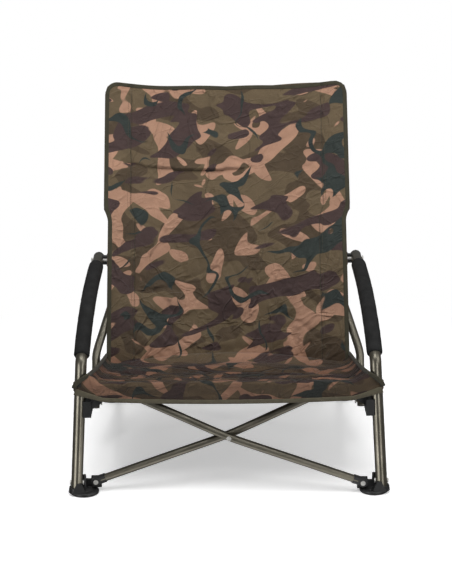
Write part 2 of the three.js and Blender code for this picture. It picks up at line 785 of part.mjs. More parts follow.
// Length of the bent part of the leg and arm tube.
function armLength(path) {
  const total = path.getLength();
  return total - (legStraight - legFloorGap) * Math.hypot(1, legLean);
}

// Height at which the upright's line meets the rear leg's, seen from the side.
function rearCrossing() {
  const tan = Math.tan(recline);
  const yAtZero = uprightBase - armHeight * tan;
  return (rearPinHeight + (rearPinDepth - yAtZero) * rearFall) / (1 + tan * rearFall);
}

function disc(x, y) {
  const radius = radiusOf(discDiameter);
  const profile = [
    new THREE.Vector2(0, 0),
    new THREE.Vector2(radius - discChamfer / 2, 0),
    new THREE.Vector2(radius, discChamfer / 2),
    new THREE.Vector2(radius, discThickness - discChamfer),
    new THREE.Vector2(radius - discChamfer, discThickness),
    new THREE.Vector2(0, discThickness),
  ];
  const geometry = new THREE.LatheGeometry(profile, discSides);
  geometry.rotateX(Math.PI / 2);
  return geometry.translate(x, y, 0);
}

// Crossed bars. Each is pinned at one foot, bent a little at the centre rivet, and ends under
// the far seat corner.
for (const [pairName, pair] of Object.entries(pairs)) {
  const lifts = [pair.lift.left, pair.lift.right];
  const low = Math.min(...lifts) - barRadius - runningGap;
  const high = Math.max(...lifts) + barRadius + runningGap;
  const pivotLow = pair.place(0, barPivotRise, low);
  const pivotHigh = pair.place(0, barPivotRise, high);
  const pivotHole = rod(
    pair.place(0, barPivotRise, low - overrun),
    pair.place(0, barPivotRise, high + overrun),
    pinRadius + clearance,
  );
  const rivetEnds = [
    pair.place(0, barPivotRise, low - pinHead),
    pair.place(0, barPivotRise, high + pinHead),
  ];
  const centreRivet = join(
    rod(rivetEnds[0], rivetEnds[1], pinRadius),
    rod(rivetEnds[0], pivotLow, radiusOf(pinHeadDiameter)),
    rod(pivotHigh, rivetEnds[1], radiusOf(pinHeadDiameter)),
  );
  add(`${pairName}_centre_rivet`, centreRivet, steelFinish);

  for (const [name, side] of Object.entries(sides)) {
    const lift = pair.lift[name];
    const pin = pair.place((side * pinSpacing) / 2, 0, lift);
    const pivot = pair.place(0, barPivotRise, lift);
    const end = pair.place((-side * barEndSpacing) / 2, barEndRise, lift);
    const lower = pivot.clone().sub(pin).normalize();
    const upper = end.clone().sub(pivot).normalize();
    const bend = barDiameter;
    const curve = new THREE.CatmullRomCurve3([
      pin.clone().addScaledVector(lower, barStart),
      pin.clone().add(pivot).multiplyScalar(1 / 2),
      pivot.clone().addScaledVector(lower, -bend),
      pivot.clone().addScaledVector(upper, bend),
      pivot.clone().add(end).multiplyScalar(1 / 2),
      end,
    ]);
    const bar = tube(curve, barRadius, barRadius - tubeWall, barSteps);
    add(`${pairName}_${name}_bar`, cut(bar, pivotHole), frameFinish);
    const barClear = tube(curve, barRadius + clearance, 0, barSteps);

    const eyeHalf = pair.normal.clone().multiplyScalar(barRadius);
    const eye = rod(pin.clone().sub(eyeHalf), pin.clone().add(eyeHalf), eyeRadius);
    const sleeve = rod(pin, pin.clone().addScaledVector(lower, fittingSocket), capRadius);
    const pinCut = pair.normal.clone().multiplyScalar(capRadius + overrun);
    const pinHole = rod(pin.clone().sub(pinCut), pin.clone().add(pinCut), pinRadius + clearance);
    // The sleeve is flattened to the eye's width, so that it passes its lug.
    const slab = new THREE.BoxGeometry(fittingSocket * 3, fittingSocket * 3, barDiameter);
    slab.applyQuaternion(new THREE.Quaternion().setFromUnitVectors(at(0, 0, 1), pair.normal));
    slab.translate(pin.x, pin.y, pin.z);
    const flatSleeve = toGeometry(toSolid(sleeve).intersect(toSolid(slab)));
    const fitting = cut(join(eye, flatSleeve), barClear, pinHole);
    add(`${pairName}_${name}_bar_fitting`, fitting, plasticFinish);

    const capTip = end.clone().addScaledVector(upper, fittingWall + clearance);
    const capRoot = end.clone().addScaledVector(upper, -capLength);
    const endCap = cut(rod(capRoot, capTip, capRadius), barClear);
    add(`${pairName}_${name}_bar_cap`, endCap, plasticFinish);
  }
}

// Fabric. The back hangs slack between its side sleeves, hollow at the seat and nearly flat at the top.
const sleeveRadius = uprightRadius + clearance + sleeveWall;
const backOffset = uprightRadius + clearance + clothThickness / 2;
const backLength = (uprightTop + plugLength + backTopOver - seamHeight) / Math.cos(recline);

const backHeight = (s) => seamHeight + s * Math.cos(recline);
const backStep = armHeight + backStepRise;
// The upper part, with its side pockets, is wider than the lower one.
const backHalf = (z) => {
  const share = THREE.MathUtils.smoothstep(z, backStep - backStepSpan / 2, backStep + backStepSpan / 2);
  return THREE.MathUtils.lerp(backLowerWidth, backUpperWidth, share) / 2;
};

// A point of the back at a distance from its middle and along its slope.
function backSurface(x, s) {
  const z = backHeight(s);
  const depth = THREE.MathUtils.lerp(backHollow, backHollowTop, Math.sqrt(s / backLength));
  // The cloth stays flat over the uprights and falls back between them.
  const inner = Math.min(1, Math.abs(x) / (uprightX(z) - sleeveRadius));
  const slack = 1 - inner ** 2;
  return at(x, uprightY(seamHeight), seamHeight)
    .addScaledVector(uprightAxis, s)
    .addScaledVector(uprightFront, backOffset - (depth + backFold(x, s)) * slack);
}

// Depth of the main folds at a point of the back.
function backFold(x, s) {
  let depth = 0;
  for (const fold of backFolds) {
    const slant = THREE.MathUtils.degToRad(fold.slant);
    const along = (x - fold.x) * Math.cos(slant) + (s - fold.s) * Math.sin(slant);
    const across = (s - fold.s) * Math.cos(slant) - (x - fold.x) * Math.sin(slant);
    depth += fold.depth * Math.exp(-((along / fold.length) ** 2) - (across / fold.width) ** 2);
  }
  return depth;
}

function backPoint(u, v) {
  const across = 2 * u - 1;
  const reach = Math.abs(across);
  const widest = uprightX(uprightTop);
  const corner = Math.min(Math.max(0, reach * widest - widest + backCornerDrop), backCornerDrop);
  const rounding = backCornerDrop - Math.sqrt(backCornerDrop ** 2 - corner ** 2);
  const s = v * (backLength - backTopDip * (1 - across ** 2) - rounding);
  const z = backHeight(s);
  // The outer column of faces lies over the upright.
  const bandShare = 2 / backAcross;
  const innerX = uprightX(z) - sleeveRadius;
  const over = Math.max(0, (reach - 1 + bandShare) / bandShare);
  const slackX = (innerX * Math.min(reach, 1 - bandShare)) / (1 - bandShare);
  return backSurface(Math.sign(across) * (slackX + over * (backHalf(z) - innerX)), s);
}

function sleeve(side, fromZ, toZ) {
  const from = at(side * uprightX(fromZ), uprightY(fromZ), fromZ);
  const to = at(side * uprightX(toZ), uprightY(toZ), toZ);
  const bore = roundBore(uprightRadius + clearance);
  return tube(new THREE.LineCurve3(from, to), bore + sleeveWall, bore, 1, tubeSides, tubeSides);
}

const backPanel = sheet(backPoint, backAcross, backUp, clothThickness);
const sleeveGap = bracketLength; // bare upright at each side of the bracket's middle
const sleeves = [];
for (const side of Object.values(sides)) {
  sleeves.push(sleeve(side, backStep, uprightTop));
  sleeves.push(sleeve(side, uprightBendTop + sleeveGap, armHeight - sleeveGap));
}
add("back_sling", join(backPanel, ...sleeves), clothFinish);

// The seat runs from the front edge down to the back, against which it ends.
function seatPoint(u, v) {
  const across = 2 * u - 1;
  const bow = 1 - across ** 2;
  const edge = webbingHalf + runningGap;
  const front = at(across * (webFrontX - edge), -seatFrontReach, seatFrontHeight - clothThickness / 2);
  const meet = backSurface(across * (webBackX - edge), seatSeamRise * bow + clothThickness * 2);
  meet.addScaledVector(uprightFront, clothThickness + seatBackGap);
  const point = front.lerp(meet, v);
  point.z -= seatSag * Math.sin(Math.PI * v) * (1 - across ** 2 / 2);
  const fade = Math.sin(Math.PI * v) ** (1 / 2) * (1 - across ** 4);
  point.z += seatFoldDepth * fade * Math.sin(2 * Math.PI * (seatFolds * v + seatFoldSlant * across ** 2));
  return point;
}
add("seat_sling", sheet(seatPoint, clothAcross, seatDeep, clothThickness), clothFinish);

// The valance hangs ahead of the legs, and its ends wrap round them.
const valanceTop = seatFrontHeight - clothThickness - valanceGap;

function valancePoint(u, v) {
  const across = 2 * u - 1;
  const height = valanceHeight + valanceSag * (1 - across ** 2);
  const z = valanceTop - height * (1 - v);
  const half = legX(z);
  const fold = valanceFoldDepth * (1 - v) * Math.cos(Math.PI * valanceFolds * across);
  return at(across * half, -valanceOffset - Math.max(0, fold) * (1 - across ** 2), z);
}
const valancePanel = sheet(valancePoint, valanceAcross, valanceUp, clothThickness);
const wraps = Object.values(sides).map((side) => {
  const low = valanceTop - valanceHeight;
  const line = new THREE.LineCurve3(
    at(side * legX(low), 0, low),
    at(side * legX(valanceTop), 0, valanceTop),
  );
  const wrapBore = roundBore(legRadius + clearance);
  return tube(line, valanceOffset + clothThickness / 2, wrapBore, 1, tubeSides, tubeSides);
});
add("seat_valance", join(valancePanel, ...wraps), clothFinish);

// The origin is on the floor under the middle of the chair.
const bounds = new THREE.Box3().setFromObject(chair);
const centre = bounds.getCenter(new THREE.Vector3());
chair.position.set(-centre.x, -centre.y, -bounds.min.z);

export default chair;
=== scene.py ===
# A low folding sling chair with camouflage cloth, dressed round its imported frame.
import bpy
import bmesh
import math
from mathutils import Matrix, Vector, noise


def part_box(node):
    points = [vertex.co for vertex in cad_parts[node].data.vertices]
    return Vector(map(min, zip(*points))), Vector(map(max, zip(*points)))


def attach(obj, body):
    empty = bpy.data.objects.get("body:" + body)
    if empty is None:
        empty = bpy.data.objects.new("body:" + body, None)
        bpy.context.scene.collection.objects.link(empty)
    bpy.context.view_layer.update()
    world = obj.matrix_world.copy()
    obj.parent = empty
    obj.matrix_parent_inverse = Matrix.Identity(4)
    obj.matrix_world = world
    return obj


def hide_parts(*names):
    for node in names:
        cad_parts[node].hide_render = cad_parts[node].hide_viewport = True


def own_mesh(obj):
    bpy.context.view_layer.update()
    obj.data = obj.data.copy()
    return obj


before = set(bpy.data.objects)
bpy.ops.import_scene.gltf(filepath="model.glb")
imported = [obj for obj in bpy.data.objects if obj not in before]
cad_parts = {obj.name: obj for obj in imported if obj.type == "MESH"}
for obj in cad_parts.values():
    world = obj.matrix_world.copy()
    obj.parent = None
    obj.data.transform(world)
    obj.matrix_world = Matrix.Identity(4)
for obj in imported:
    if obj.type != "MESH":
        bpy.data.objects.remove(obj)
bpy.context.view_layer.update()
print("frame loaded, nodes:", len(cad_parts))

sides = {"left": -1, "right": 1}
bodyOf = {"left": "left_frame", "right": "right_frame"}

# The frame's own lines, in metres. Depths count from the front legs.
lines = {
    "legSpacing": 0.587, "armSpacing": 0.544, "armHeight": 0.356, "armDepth": 0.462,
    "legStraight": 0.264, "legEnd": 0.006, "legRadius": 0.011,
    "armOverhang": 0.022, "recline": math.radians(31),
    "uprightSpacing": 0.478, "uprightTopSpacing": 0.498, "uprightFootSpacing": 0.547,
    "uprightTop": 0.686, "uprightBendTop": 0.285, "uprightBendBottom": 0.178, "uprightEnd": 0.082,
    "uprightRadius": 0.0085,
    "pinSpacing": 0.513, "pinHeight": 0.021, "pivotRise": 0.0925, "endSpacing": 0.404, "endRise": 0.187,
    "barRadius": 0.0075, "barPitch": 0.0164, "barStart": 0.010,
    "rearLegSpacing": 0.506, "rearLegFront": 0.028, "rearLegFrontHeight": 0.175,
    "rearPinDepth": 0.575, "rearPinHeight": 0.036, "rearPinGap": 0.014, "rearBarLift": 0.020,
    "discSetback": 0.007, "discInset": 0.015, "foldLimit": 56,
}
# The bend from the leg to the arm, as shares of the arm's depth and of the rise above the straight leg
armShares = [
    (0.065, 0.26), (0.11, 0.42), (0.175, 0.57), (0.25, 0.7), (0.345, 0.82),
    (0.46, 0.92), (0.62, 0.98), (0.83, 1.0), (1, 0.98),
]

footLow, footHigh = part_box("left_front_foot")
shiftY = (footLow[1] + footHigh[1]) / 2 - lines["discSetback"]


def at(x, y, z):
    return Vector((x, y + shiftY, z))


def mix(a, b, t):
    return a + (b - a) * t


def clamp(t, low=0.0, high=1.0):
    return max(low, min(high, t))


def smooth(t):
    t = clamp(t)
    return t * t * (3 - 2 * t)


def noiseAt(x, y, z):
    return noise.noise(Vector((x, y, z)))


legLean = (lines["legSpacing"] - lines["armSpacing"]) / 2 / lines["armHeight"]


def legX(z):
    return lines["legSpacing"] / 2 - legLean * z


tanRecline = math.tan(lines["recline"])
uprightAxis = Vector((0, math.sin(lines["recline"]), math.cos(lines["recline"])))
uprightFront = Vector((0, -math.cos(lines["recline"]), math.sin(lines["recline"])))


def uprightY(z):
    return lines["armDepth"] - lines["armOverhang"] + (z - lines["armHeight"]) * tanRecline


def uprightX(z):
    share = clamp((z - lines["uprightBendTop"]) / (lines["uprightTop"] - lines["uprightBendTop"]), 0, 2)
    return mix(lines["uprightSpacing"], lines["uprightTopSpacing"], share) / 2


rearFall = lines["rearLegFrontHeight"] - lines["rearPinHeight"]
rearSlope = math.atan(rearFall / (lines["rearPinDepth"] - lines["rearLegFront"]))
rearUp = Vector((0, -math.cos(rearSlope), math.sin(rearSlope)))
rearNormal = Vector((0, math.sin(rearSlope), math.cos(rearSlope)))


def rearPoint(x, up, lift):
    return at(x, lines["rearPinDepth"], lines["rearPinHeight"]) + rearUp * up + rearNormal * lift


fineness = {"spline": 40, "part": 400}


def splinePath(points, count):
    # Centripetal spline through the points, then evenly spaced
    knots = [points[0] * 2 - points[1]] + list(points) + [points[-1] * 2 - points[-2]]
    fine = []
    for i in range(1, len(knots) - 2):
        p0, p1, p2, p3 = knots[i - 1:i + 3]
        d1 = (p1 - p0).length ** 0.5
        d2 = (p2 - p1).length ** 0.5
        d3 = (p3 - p2).length ** 0.5
        t1 = ((p1 - p0) / d1 - (p2 - p0) / (d1 + d2) + (p2 - p1) / d2) * d2
        t2 = ((p2 - p1) / d2 - (p3 - p1) / (d2 + d3) + (p3 - p2) / d3) * d2
        for k in range(fineness["spline"]):
            t = k / fineness["spline"]
            fine.append(
                p1 + t1 * t
                + (p2 * 3 - p1 * 3 - t1 * 2 - t2) * t ** 2
                + (p1 * 2 - p2 * 2 + t1 + t2) * t ** 3
            )
    fine.append(points[-1].copy())
    return evenly(fine, count)


def evenly(points, count):
    lengths = [0.0]
    for a, b in zip(points, points[1:]):
        lengths.append(lengths[-1] + (b - a).length)
    total = lengths[-1]
    out = []
    k = 0
    for i in range(count + 1):
        want = total * i / count
        while k < len(points) - 2 and lengths[k + 1] < want:
            k += 1
        span = max(lengths[k + 1] - lengths[k], 1e-9)
        out.append(points[k].lerp(points[k + 1], clamp((want - lengths[k]) / span)))
    return out


def pathLength(points):
    return sum((b - a).length for a, b in zip(points, points[1:]))


def partOfPath(points, start, end, count):
    total = pathLength(points)
    fine = evenly(points, fineness["part"])
    first, last = (int(round(fineness["part"] * reach / total)) for reach in (start, end))
    return evenly(fine[first:last + 1], count)


# Materials are made once and shared.


def rgba(colour):
    # A single number is a grey.
    return (*colour, 1) if isinstance(colour, tuple) else (colour, colour, colour, 1)


def feed(tree, node, values):
    # Each value is a number, a tuple or the output of another node.
    for name, value in values.items():
        socket = node.inputs[name]
        if isinstance(value, bpy.types.NodeSocket):
            tree.links.new(value, socket)
        else:
            socket.default_value = rgba(value) if socket.type == "RGBA" else value


def addNode(tree, kind, inputs, **settings):
    node = tree.nodes.new(kind)
    for name, value in settings.items():
        setattr(node, name, value)
    feed(tree, node, inputs)
    return node


def newMaterial(name, colour, roughness, metallic=0.0):
    material = bpy.data.materials.new(name)
    material.use_nodes = True
    tree = material.node_tree
    bsdf = tree.nodes["Principled BSDF"]
    feed(tree, bsdf, {"Base Color": colour, "Roughness": roughness, "Metallic": metallic})
    return material, tree, bsdf


def noiseNode(tree, vector, scale, detail=2.0, rough=0.5, distortion=0.0):
    return addNode(tree, "ShaderNodeTexNoise", {
        "Vector": vector, "Scale": scale, "Detail": detail, "Roughness": rough, "Distortion": distortion,
    }).outputs["Fac"]


def ramp(tree, value, *stops):
    # Each of the two stops is a place and a colour or a grey.
    node = addNode(tree, "ShaderNodeValToRGB", {"Fac": value})
    for element, (place, colour) in zip(node.color_ramp.elements, stops):
        element.position = place
        element.color = rgba(colour)
    return node.outputs["Color"]


def mathNode(tree, kind, a, b=0.5):
    return addNode(tree, "ShaderNodeMath", {0: a, 1: b}, operation=kind).outputs[0]


def plus(tree, a, b):
    return mathNode(tree, "ADD", a, b)


def minus(tree, a, b):
    return mathNode(tree, "SUBTRACT", a, b)


def times(tree, a, b):
    return mathNode(tree, "MULTIPLY", a, b)


def mixColour(tree, factor, a, b, blend="MIX"):
    node = addNode(tree, "ShaderNodeMix", {0: factor, 6: a, 7: b}, data_type="RGBA", blend_type=blend)
    return node.outputs[2]


def tinted(tree, colour, tint):
    return mixColour(tree, 1.0, colour, tint, "MULTIPLY")


def step(tree, value, edge, width):
    # From 0 to 1 as the value passes the edge
    values = {"Value": value, "From Min": edge - width / 2, "From Max": edge + width / 2}
    return addNode(tree, "ShaderNodeMapRange", values, interpolation_type="SMOOTHSTEP").outputs["Result"]


def below(tree, value, edge, width):
    return minus(tree, 1.0, step(tree, value, edge, width))


def bump(tree, bsdf, height, strength, distance):
    node = addNode(tree, "ShaderNodeBump", {"Height": height, "Strength": strength, "Distance": distance})
    feed(tree, bsdf, {"Normal": node.outputs["Normal"]})


def coords(tree, kind="Object", scale=(1, 1, 1), place=(0, 0, 0), turn=0.0):
    # Turned first and stretched after, so that a stretch can run at a slant.
    source = addNode(tree, "ShaderNodeTexCoord", {}).outputs[kind]
    turned = addNode(tree, "ShaderNodeMapping", {"Vector": source, "Rotation": (0, 0, math.radians(turn))})
    values = {"Vector": turned.outputs["Vector"], "Scale": scale, "Location": place}
    return addNode(tree, "ShaderNodeMapping", values).outputs["Vector"]


paintLook = {
    "colour": (0.229, 0.211, 0.168), "dark": (0.164, 0.150, 0.116), "rough": 0.34, "roughRange": (0.30, 0.38),
    "metal": 0.9, "coat": 0.15, "patches": 22, "dulledPatches": 60, "grain": 1400, "grainDepth": 0.0003,
}


def makePaint():
    look = paintLook
    material, tree, bsdf = newMaterial("olive_bronze_paint", look["colour"], look["rough"], look["metal"])
    where = coords(tree)
    patches = noiseNode(tree, where, look["patches"], 3)
    dulled = noiseNode(tree, where, look["dulledPatches"], 4)
    feed(tree, bsdf, {
        "Base Color": ramp(tree, patches, (0.3, look["dark"]), (0.7, look["colour"])),
        "Roughness": ramp(tree, dulled, (0.3, look["roughRange"][0]), (0.75, look["roughRange"][1])),
        "Coat Weight": look["coat"], "Coat Roughness": 0.3,
    })
    bump(tree, bsdf, noiseNode(tree, where, look["grain"], 2), 0.05, look["grainDepth"])
    return material


foamLook = {
    "colour": 0.012, "rough": 0.92, "scuffRange": (0.010, 0.021), "specular": 0.3,
    "cells": 900, "scuffs": 45, "lumps": 160, "depth": 0.0006,
}


def makeFoam():
    look = foamLook
    material, tree, bsdf = newMaterial("black_foam", look["colour"], look["rough"])
    where = coords(tree)
    cells = addNode(tree, "ShaderNodeTexVoronoi", {"Vector": where, "Scale": look["cells"]})
    scuffs = noiseNode(tree, where, look["scuffs"], 5, 0.65)
    feed(tree, bsdf, {
        "Base Color": ramp(tree, scuffs, (0.35, look["scuffRange"][0]), (0.8, look["scuffRange"][1])),
        "Specular IOR Level": look["specular"],
    })
    lumps = times(tree, noiseNode(tree, where, look["lumps"], 3), 0.8)
    bump(tree, bsdf, plus(tree, cells.outputs["Distance"], lumps), 0.5, look["depth"])
    return material


plasticLook = {
    "name": "black_plastic", "colour": (0.016, 0.016, 0.017), "rough": 0.42, "metal": 0.0,
    "patches": 35, "patchDetail": 3, "patchStops": ((0.3, 0.013), (0.75, 0.026)),
    "grain": 700, "roughRange": (0.36, 0.52), "grainStrength": 0.16, "grainDepth": 0.0003,
}
steelLook = {
    "name": "bright_steel", "colour": (0.62, 0.61, 0.58), "rough": 0.4, "metal": 0.55,
    "patches": 120, "patchDetail": 2, "patchStops": ((0.3, (0.55, 0.54, 0.51)), (0.7, (0.7, 0.69, 0.66))),
    "grain": 500, "roughRange": (0.34, 0.48), "grainStrength": 0.06, "grainDepth": 0.0002,
}


def makeHardFinish(look):
    material, tree, bsdf = newMaterial(look["name"], look["colour"], look["rough"], look["metal"])
    where = coords(tree)
    grain = noiseNode(tree, where, look["grain"], 3, 0.6)
    patches = noiseNode(tree, where, look["patches"], look["patchDetail"])
    feed(tree, bsdf, {
        "Base Color": ramp(tree, patches, *look["patchStops"]),
        "Roughness": ramp(tree, grain, (0.3, look["roughRange"][0]), (0.8, look["roughRange"][1])),
    })
    bump(tree, bsdf, grain, look["grainStrength"], look["grainDepth"])
    return material


# Three of its colours are painted shade: one for the seat, one for the cloth below the back's foot and one
# for the seat's creases.
camouflage = {
    "olive": (0.131, 0.093, 0.051), "darkOlive": (0.079, 0.053, 0.030), "tan": (0.420, 0.238, 0.156),
    "brown": (0.062, 0.037, 0.034), "slate": (0.030, 0.038, 0.034), "edge": 0.012, "rough": 0.72,
    "seatPaintedShade": (0.45, 0.375, 0.325), "footPaintedShade": (0.68, 0.625, 0.59), "creasePaintedShade": (0.014, 0.009, 0.006),
    "thread": 0.0009, "sheen": 0.06, "specular": 0.35, "depth": 0.009,
}
# The print's blobs: colour, place in the noise, scale, stretch, slant, threshold, bend and detail.
blobs = [
    ("darkOlive", (3.1, 7.7, 0), 14.0, (0.8, 1.4, 1), 20, 0.53, 0.10, 0.4),
    ("tan", (11.3, 2.2, 0), 18.0, (0.66, 1.2, 1), 30, 0.602, 0.10, 0.4),
    ("tan", (2.6, 19.4, 0), 20.0, (0.62, 1.15, 1), -50, 0.618, 0.10, 0.4),
    ("brown", (5.9, 13.4, 0), 17.5, (0.64, 1.25, 1), -16, 0.568, 0.12, 0.8),
]
# Places on the cloth's UVs, in metres up the back's slope and down the seat: an edge and its width.
zones = {
    "lowerBack": (0.27, 0.30), "backFoot": (0.055, 0.07),
    "seatRear": (-0.005, 0.10), "seatFront": (-0.262, 0.008),
}
# Pressed creases lie along the middle line of a noise: stretch, place, slant, scale, distortion and width.
creaseLines = {
    "wide": ((1, 0.6, 1), (4, 9, 0), 25, 9, 0.5, 0.03),
    "fine": ((0.6, 1, 1), (14, 3, 0), -20, 17, 0.4, 0.035),
    "lying": ((0.32, 1.5, 1), (7, 5, 0), 3, 16, 0.6, 0.042),
}


def weave(tree, where, period):
    # Warp and weft threads, one over the other. A wave texture has bands 0.314 wide at scale 1.
    heights = []
    for direction in ("X", "Y"):
        values = {"Vector": where, "Scale": 0.314 / period, "Distortion": 0.4, "Detail": 1}
        wave = addNode(tree, "ShaderNodeTexWave", values, wave_type="BANDS", bands_direction=direction)
        heights.append(wave.outputs["Fac"])
    return times(tree, *heights)


def fromMiddle(tree, value):
    return mathNode(tree, "ABSOLUTE", minus(tree, value, 0.5))


def creaseLine(tree, name):
    # 1 on the middle line of a noise, falling to 0 at a distance of width
    stretch, place, slant, scale, distortion, width = creaseLines[name]
    value = noiseNode(tree, coords(tree, "UV", stretch, place, slant), scale, 3, 0.55, distortion)
    return below(tree, fromMiddle(tree, value), width / 2, width)


def warped(tree, vector, scale, reach):
    # Bends the pattern's shapes by shifting where it is read.
    bend = addNode(tree, "ShaderNodeTexNoise", {"Vector": vector, "Scale": scale, "Detail": 1.0})
    values = {0: bend.outputs["Color"], 1: (reach,) * 3, 2: vector}
    return addNode(tree, "ShaderNodeVectorMath", values, operation="MULTIPLY_ADD").outputs["Vector"]


def printedColour(tree):
    look = camouflage
    colour = look["olive"]
    for name, place, scale, stretch, slant, edge, reach, detail in blobs:
        vector = warped(tree, coords(tree, "UV", stretch, place, slant), 9.0, reach)
        blob = step(tree, noiseNode(tree, vector, scale, detail, 0.45), edge, look["edge"])
        colour = mixColour(tree, blob, colour, look[name])
    # Slate twigs follow the middle line of a noise, where another noise lets them.
    line = noiseNode(tree, warped(tree, coords(tree, "UV", place=(21.7, 4.4, 0)), 12.0, 0.08), 9.5, 0.8)
    allow = noiseNode(tree, coords(tree, "UV", place=(8.8, 31.0, 0)), 13.0, 0.5)
    width = times(tree, minus(tree, allow, 0.46), 0.19)
    twig = step(tree, minus(tree, width, fromMiddle(tree, line)), 0.0, 0.006)
    return mixColour(tree, twig, colour, look["slate"])


def pressedHeight(tree, where, threads):
    # Soft rumples lie between the pressed creases.
    rumples = noiseNode(tree, where, 30, 5, 0.6, 0.5)
    wide, fine = (creaseLine(tree, name) for name in ("wide", "fine"))
    height = times(tree, threads, 0.05)
    for layer, share in ((rumples, 0.75), (wide, 0.34), (fine, 0.20)):
        height = plus(tree, height, times(tree, layer, share))
    return height


def makeCamouflage():
    look = camouflage
    material, tree, bsdf = newMaterial("camouflage_cloth", look["olive"], look["rough"])
    where = coords(tree, "UV")
    along = addNode(tree, "ShaderNodeSeparateXYZ", {"Vector": where}).outputs["Y"]
    # Uneven print and single threads
    uneven = ramp(tree, noiseNode(tree, where, 18, 5, 0.62), (0.25, 0.80), (0.75, 1.10))
    threads = weave(tree, where, look["thread"])
    colour = tinted(tree, printedColour(tree), uneven)
    colour = tinted(tree, colour, ramp(tree, threads, (0.0, 0.84), (1.0, 1.08)))
    # The back's lower part and the seat are the most creased, and the seat's creases run across.
    low = below(tree, along, *zones["lowerBack"])
    onSeat = times(tree, below(tree, along, *zones["seatRear"]), step(tree, along, *zones["seatFront"]))
    height = times(tree, pressedHeight(tree, where, threads), plus(tree, times(tree, low, 0.4), 0.6))
    lying = times(tree, times(tree, creaseLine(tree, "lying"), onSeat), 0.5)
    bump(tree, bsdf, minus(tree, height, lying), 1.0, look["depth"])
    # Painted shade: the cloth from the foot of the back downwards is darker, the seat's top more so, and the
    # seat's creases most.
    shade = mixColour(tree, below(tree, along, *zones["backFoot"]), 1.0, look["footPaintedShade"])
    colour = tinted(tree, colour, mixColour(tree, onSeat, shade, look["seatPaintedShade"]))
    feed(tree, bsdf, {
        "Base Color": mixColour(tree, times(tree, lying, 2.0), colour, look["creasePaintedShade"]),
        "Sheen Weight": look["sheen"], "Sheen Roughness": 0.5, "Specular IOR Level": look["specular"],
    })
    return material


tapeLook = {"rough": 0.82, "thread": 0.0014, "worn": 60, "sheen": 0.1, "depth": 0.0006}


def makeTape(name, colour, dark):
    look = tapeLook
    material, tree, bsdf = newMaterial(name, colour, look["rough"])
    where = coords(tree, "UV")
    threads = weave(tree, where, look["thread"])
    worn = ramp(tree, noiseNode(tree, where, look["worn"], 4, 0.6), (0.3, dark), (0.75, colour))
    woven = tinted(tree, worn, ramp(tree, threads, (0, 0.7), (1, 1.1)))
    feed(tree, bsdf, {"Base Color": woven, "Sheen Weight": look["sheen"]})
    bump(tree, bsdf, threads, 0.4, look["depth"])
    return material


threadLook = {
    "colour": (0.075, 0.066, 0.036), "dark": (0.05, 0.044, 0.024), "light": (0.1, 0.088, 0.05), "twist": 2500,
}


def makeThread():
    look = threadLook
    material, tree, bsdf = newMaterial("olive_thread", look["colour"], 0.7)
    twist = noiseNode(tree, coords(tree), look["twist"], 2)
    feed(tree, bsdf, {"Base Color": ramp(tree, twist, (0.3, look["dark"]), (0.8, look["light"]))})
    return material


paint = makePaint()
foamSkin = makeFoam()
plastic = makeHardFinish(plasticLook)
steel = makeHardFinish(steelLook)
cloth = makeCamouflage()
darkTape = makeTape("dark_olive_tape", (0.052, 0.046, 0.024), (0.032, 0.028, 0.015))
hemTape = makeTape("olive_hem_tape", (0.135, 0.116, 0.072), (0.088, 0.075, 0.045))
thread = makeThread()
print("materials made")


# Mesh helpers


def toObject(name, bm, material, smoothAngle=0):
    bmesh.ops.recalc_face_normals(bm, faces=bm.faces)
    mesh = bpy.data.meshes.new(name)
    bm.to_mesh(mesh)
    bm.free()
    obj = bpy.data.objects.new(name, mesh)
    bpy.context.scene.collection.objects.link(obj)
    mesh.materials.append(material)
    for face in mesh.polygons:
        face.use_smooth = True
    if smoothAngle:
        mesh.set_sharp_from_angle(angle=math.radians(smoothAngle))
    return obj


def settle(obj, body, slotName, *replaced):
    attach(obj, body)
    if replaced:
        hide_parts(*replaced)
    return obj


def framesAlong(path, up, level):
    # One matrix for each point: X across, Y up, Z along the path. A level path starts from up at each point.
    out = []
    lift = Vector(up)
    for i, point in enumerate(path):
        along = (path[min(i + 1, len(path) - 1)] - path[max(i - 1, 0)]).normalized()
        if level:
            lift = Vector(up)
        lift = (lift - along * lift.dot(along)).normalized()
        matrix = Matrix((lift.cross(along), lift, along)).transposed().to_4x4()
        matrix.translation = point
        out.append(matrix)
    return out


def sweep(bm, profile, path, up, level=True, sizes=None):
    # Draws a closed profile along a path and closes both ends. UVs run along the path in metres.
    frames = framesAlong(path, up, level)
    sizes = sizes or [1.0] * len(path)
    layer = bm.loops.layers.uv.verify()
    count = len(profile)
    ring = [bm.verts.new(frames[0] @ Vector((x * sizes[0], y * sizes[0], 0))) for x, y in profile]
    edges = [bm.edges.new((ring[i], ring[(i + 1) % count])) for i in range(count)]
    bmesh.ops.edgeloop_fill(bm, edges=edges)
    around = [0.0]
    for i in range(count):
        around.append(around[-1] + (Vector(profile[(i + 1) % count]) - Vector(profile[i])).length)
    travelled = 0.0
    for k in range(1, len(path)):
        made = bmesh.ops.extrude_edge_only(bm, edges=edges)["geom"]
        fresh = {part for part in made if isinstance(part, bmesh.types.BMVert)}
        following = [next(e.other_vert(v) for e in v.link_edges if e.other_vert(v) in fresh) for v in ring]
        for vert, (x, y) in zip(following, profile):
            vert.co = frames[k] @ Vector((x * sizes[k], y * sizes[k], 0))
        reached = travelled + (path[k] - path[k - 1]).length
        spots = {vert: (i, travelled) for i, vert in enumerate(ring)}
        spots.update({vert: (i, reached) for i, vert in enumerate(following)})
        for face in (part for part in made if isinstance(part, bmesh.types.BMFace)):
            closing = {spots[loop.vert][0] for loop in face.loops} == {0, count - 1}
            for loop in face.loops:
                index, distance = spots[loop.vert]
                loop[layer].uv = (around[count if closing and index == 0 else index], distance)
        edges = [
            part for part in made
            if isinstance(part, bmesh.types.BMEdge) and part.verts[0] in fresh and part.verts[1] in fresh
        ]
        ring = following
        travelled = reached
    bmesh.ops.edgeloop_fill(bm, edges=edges)


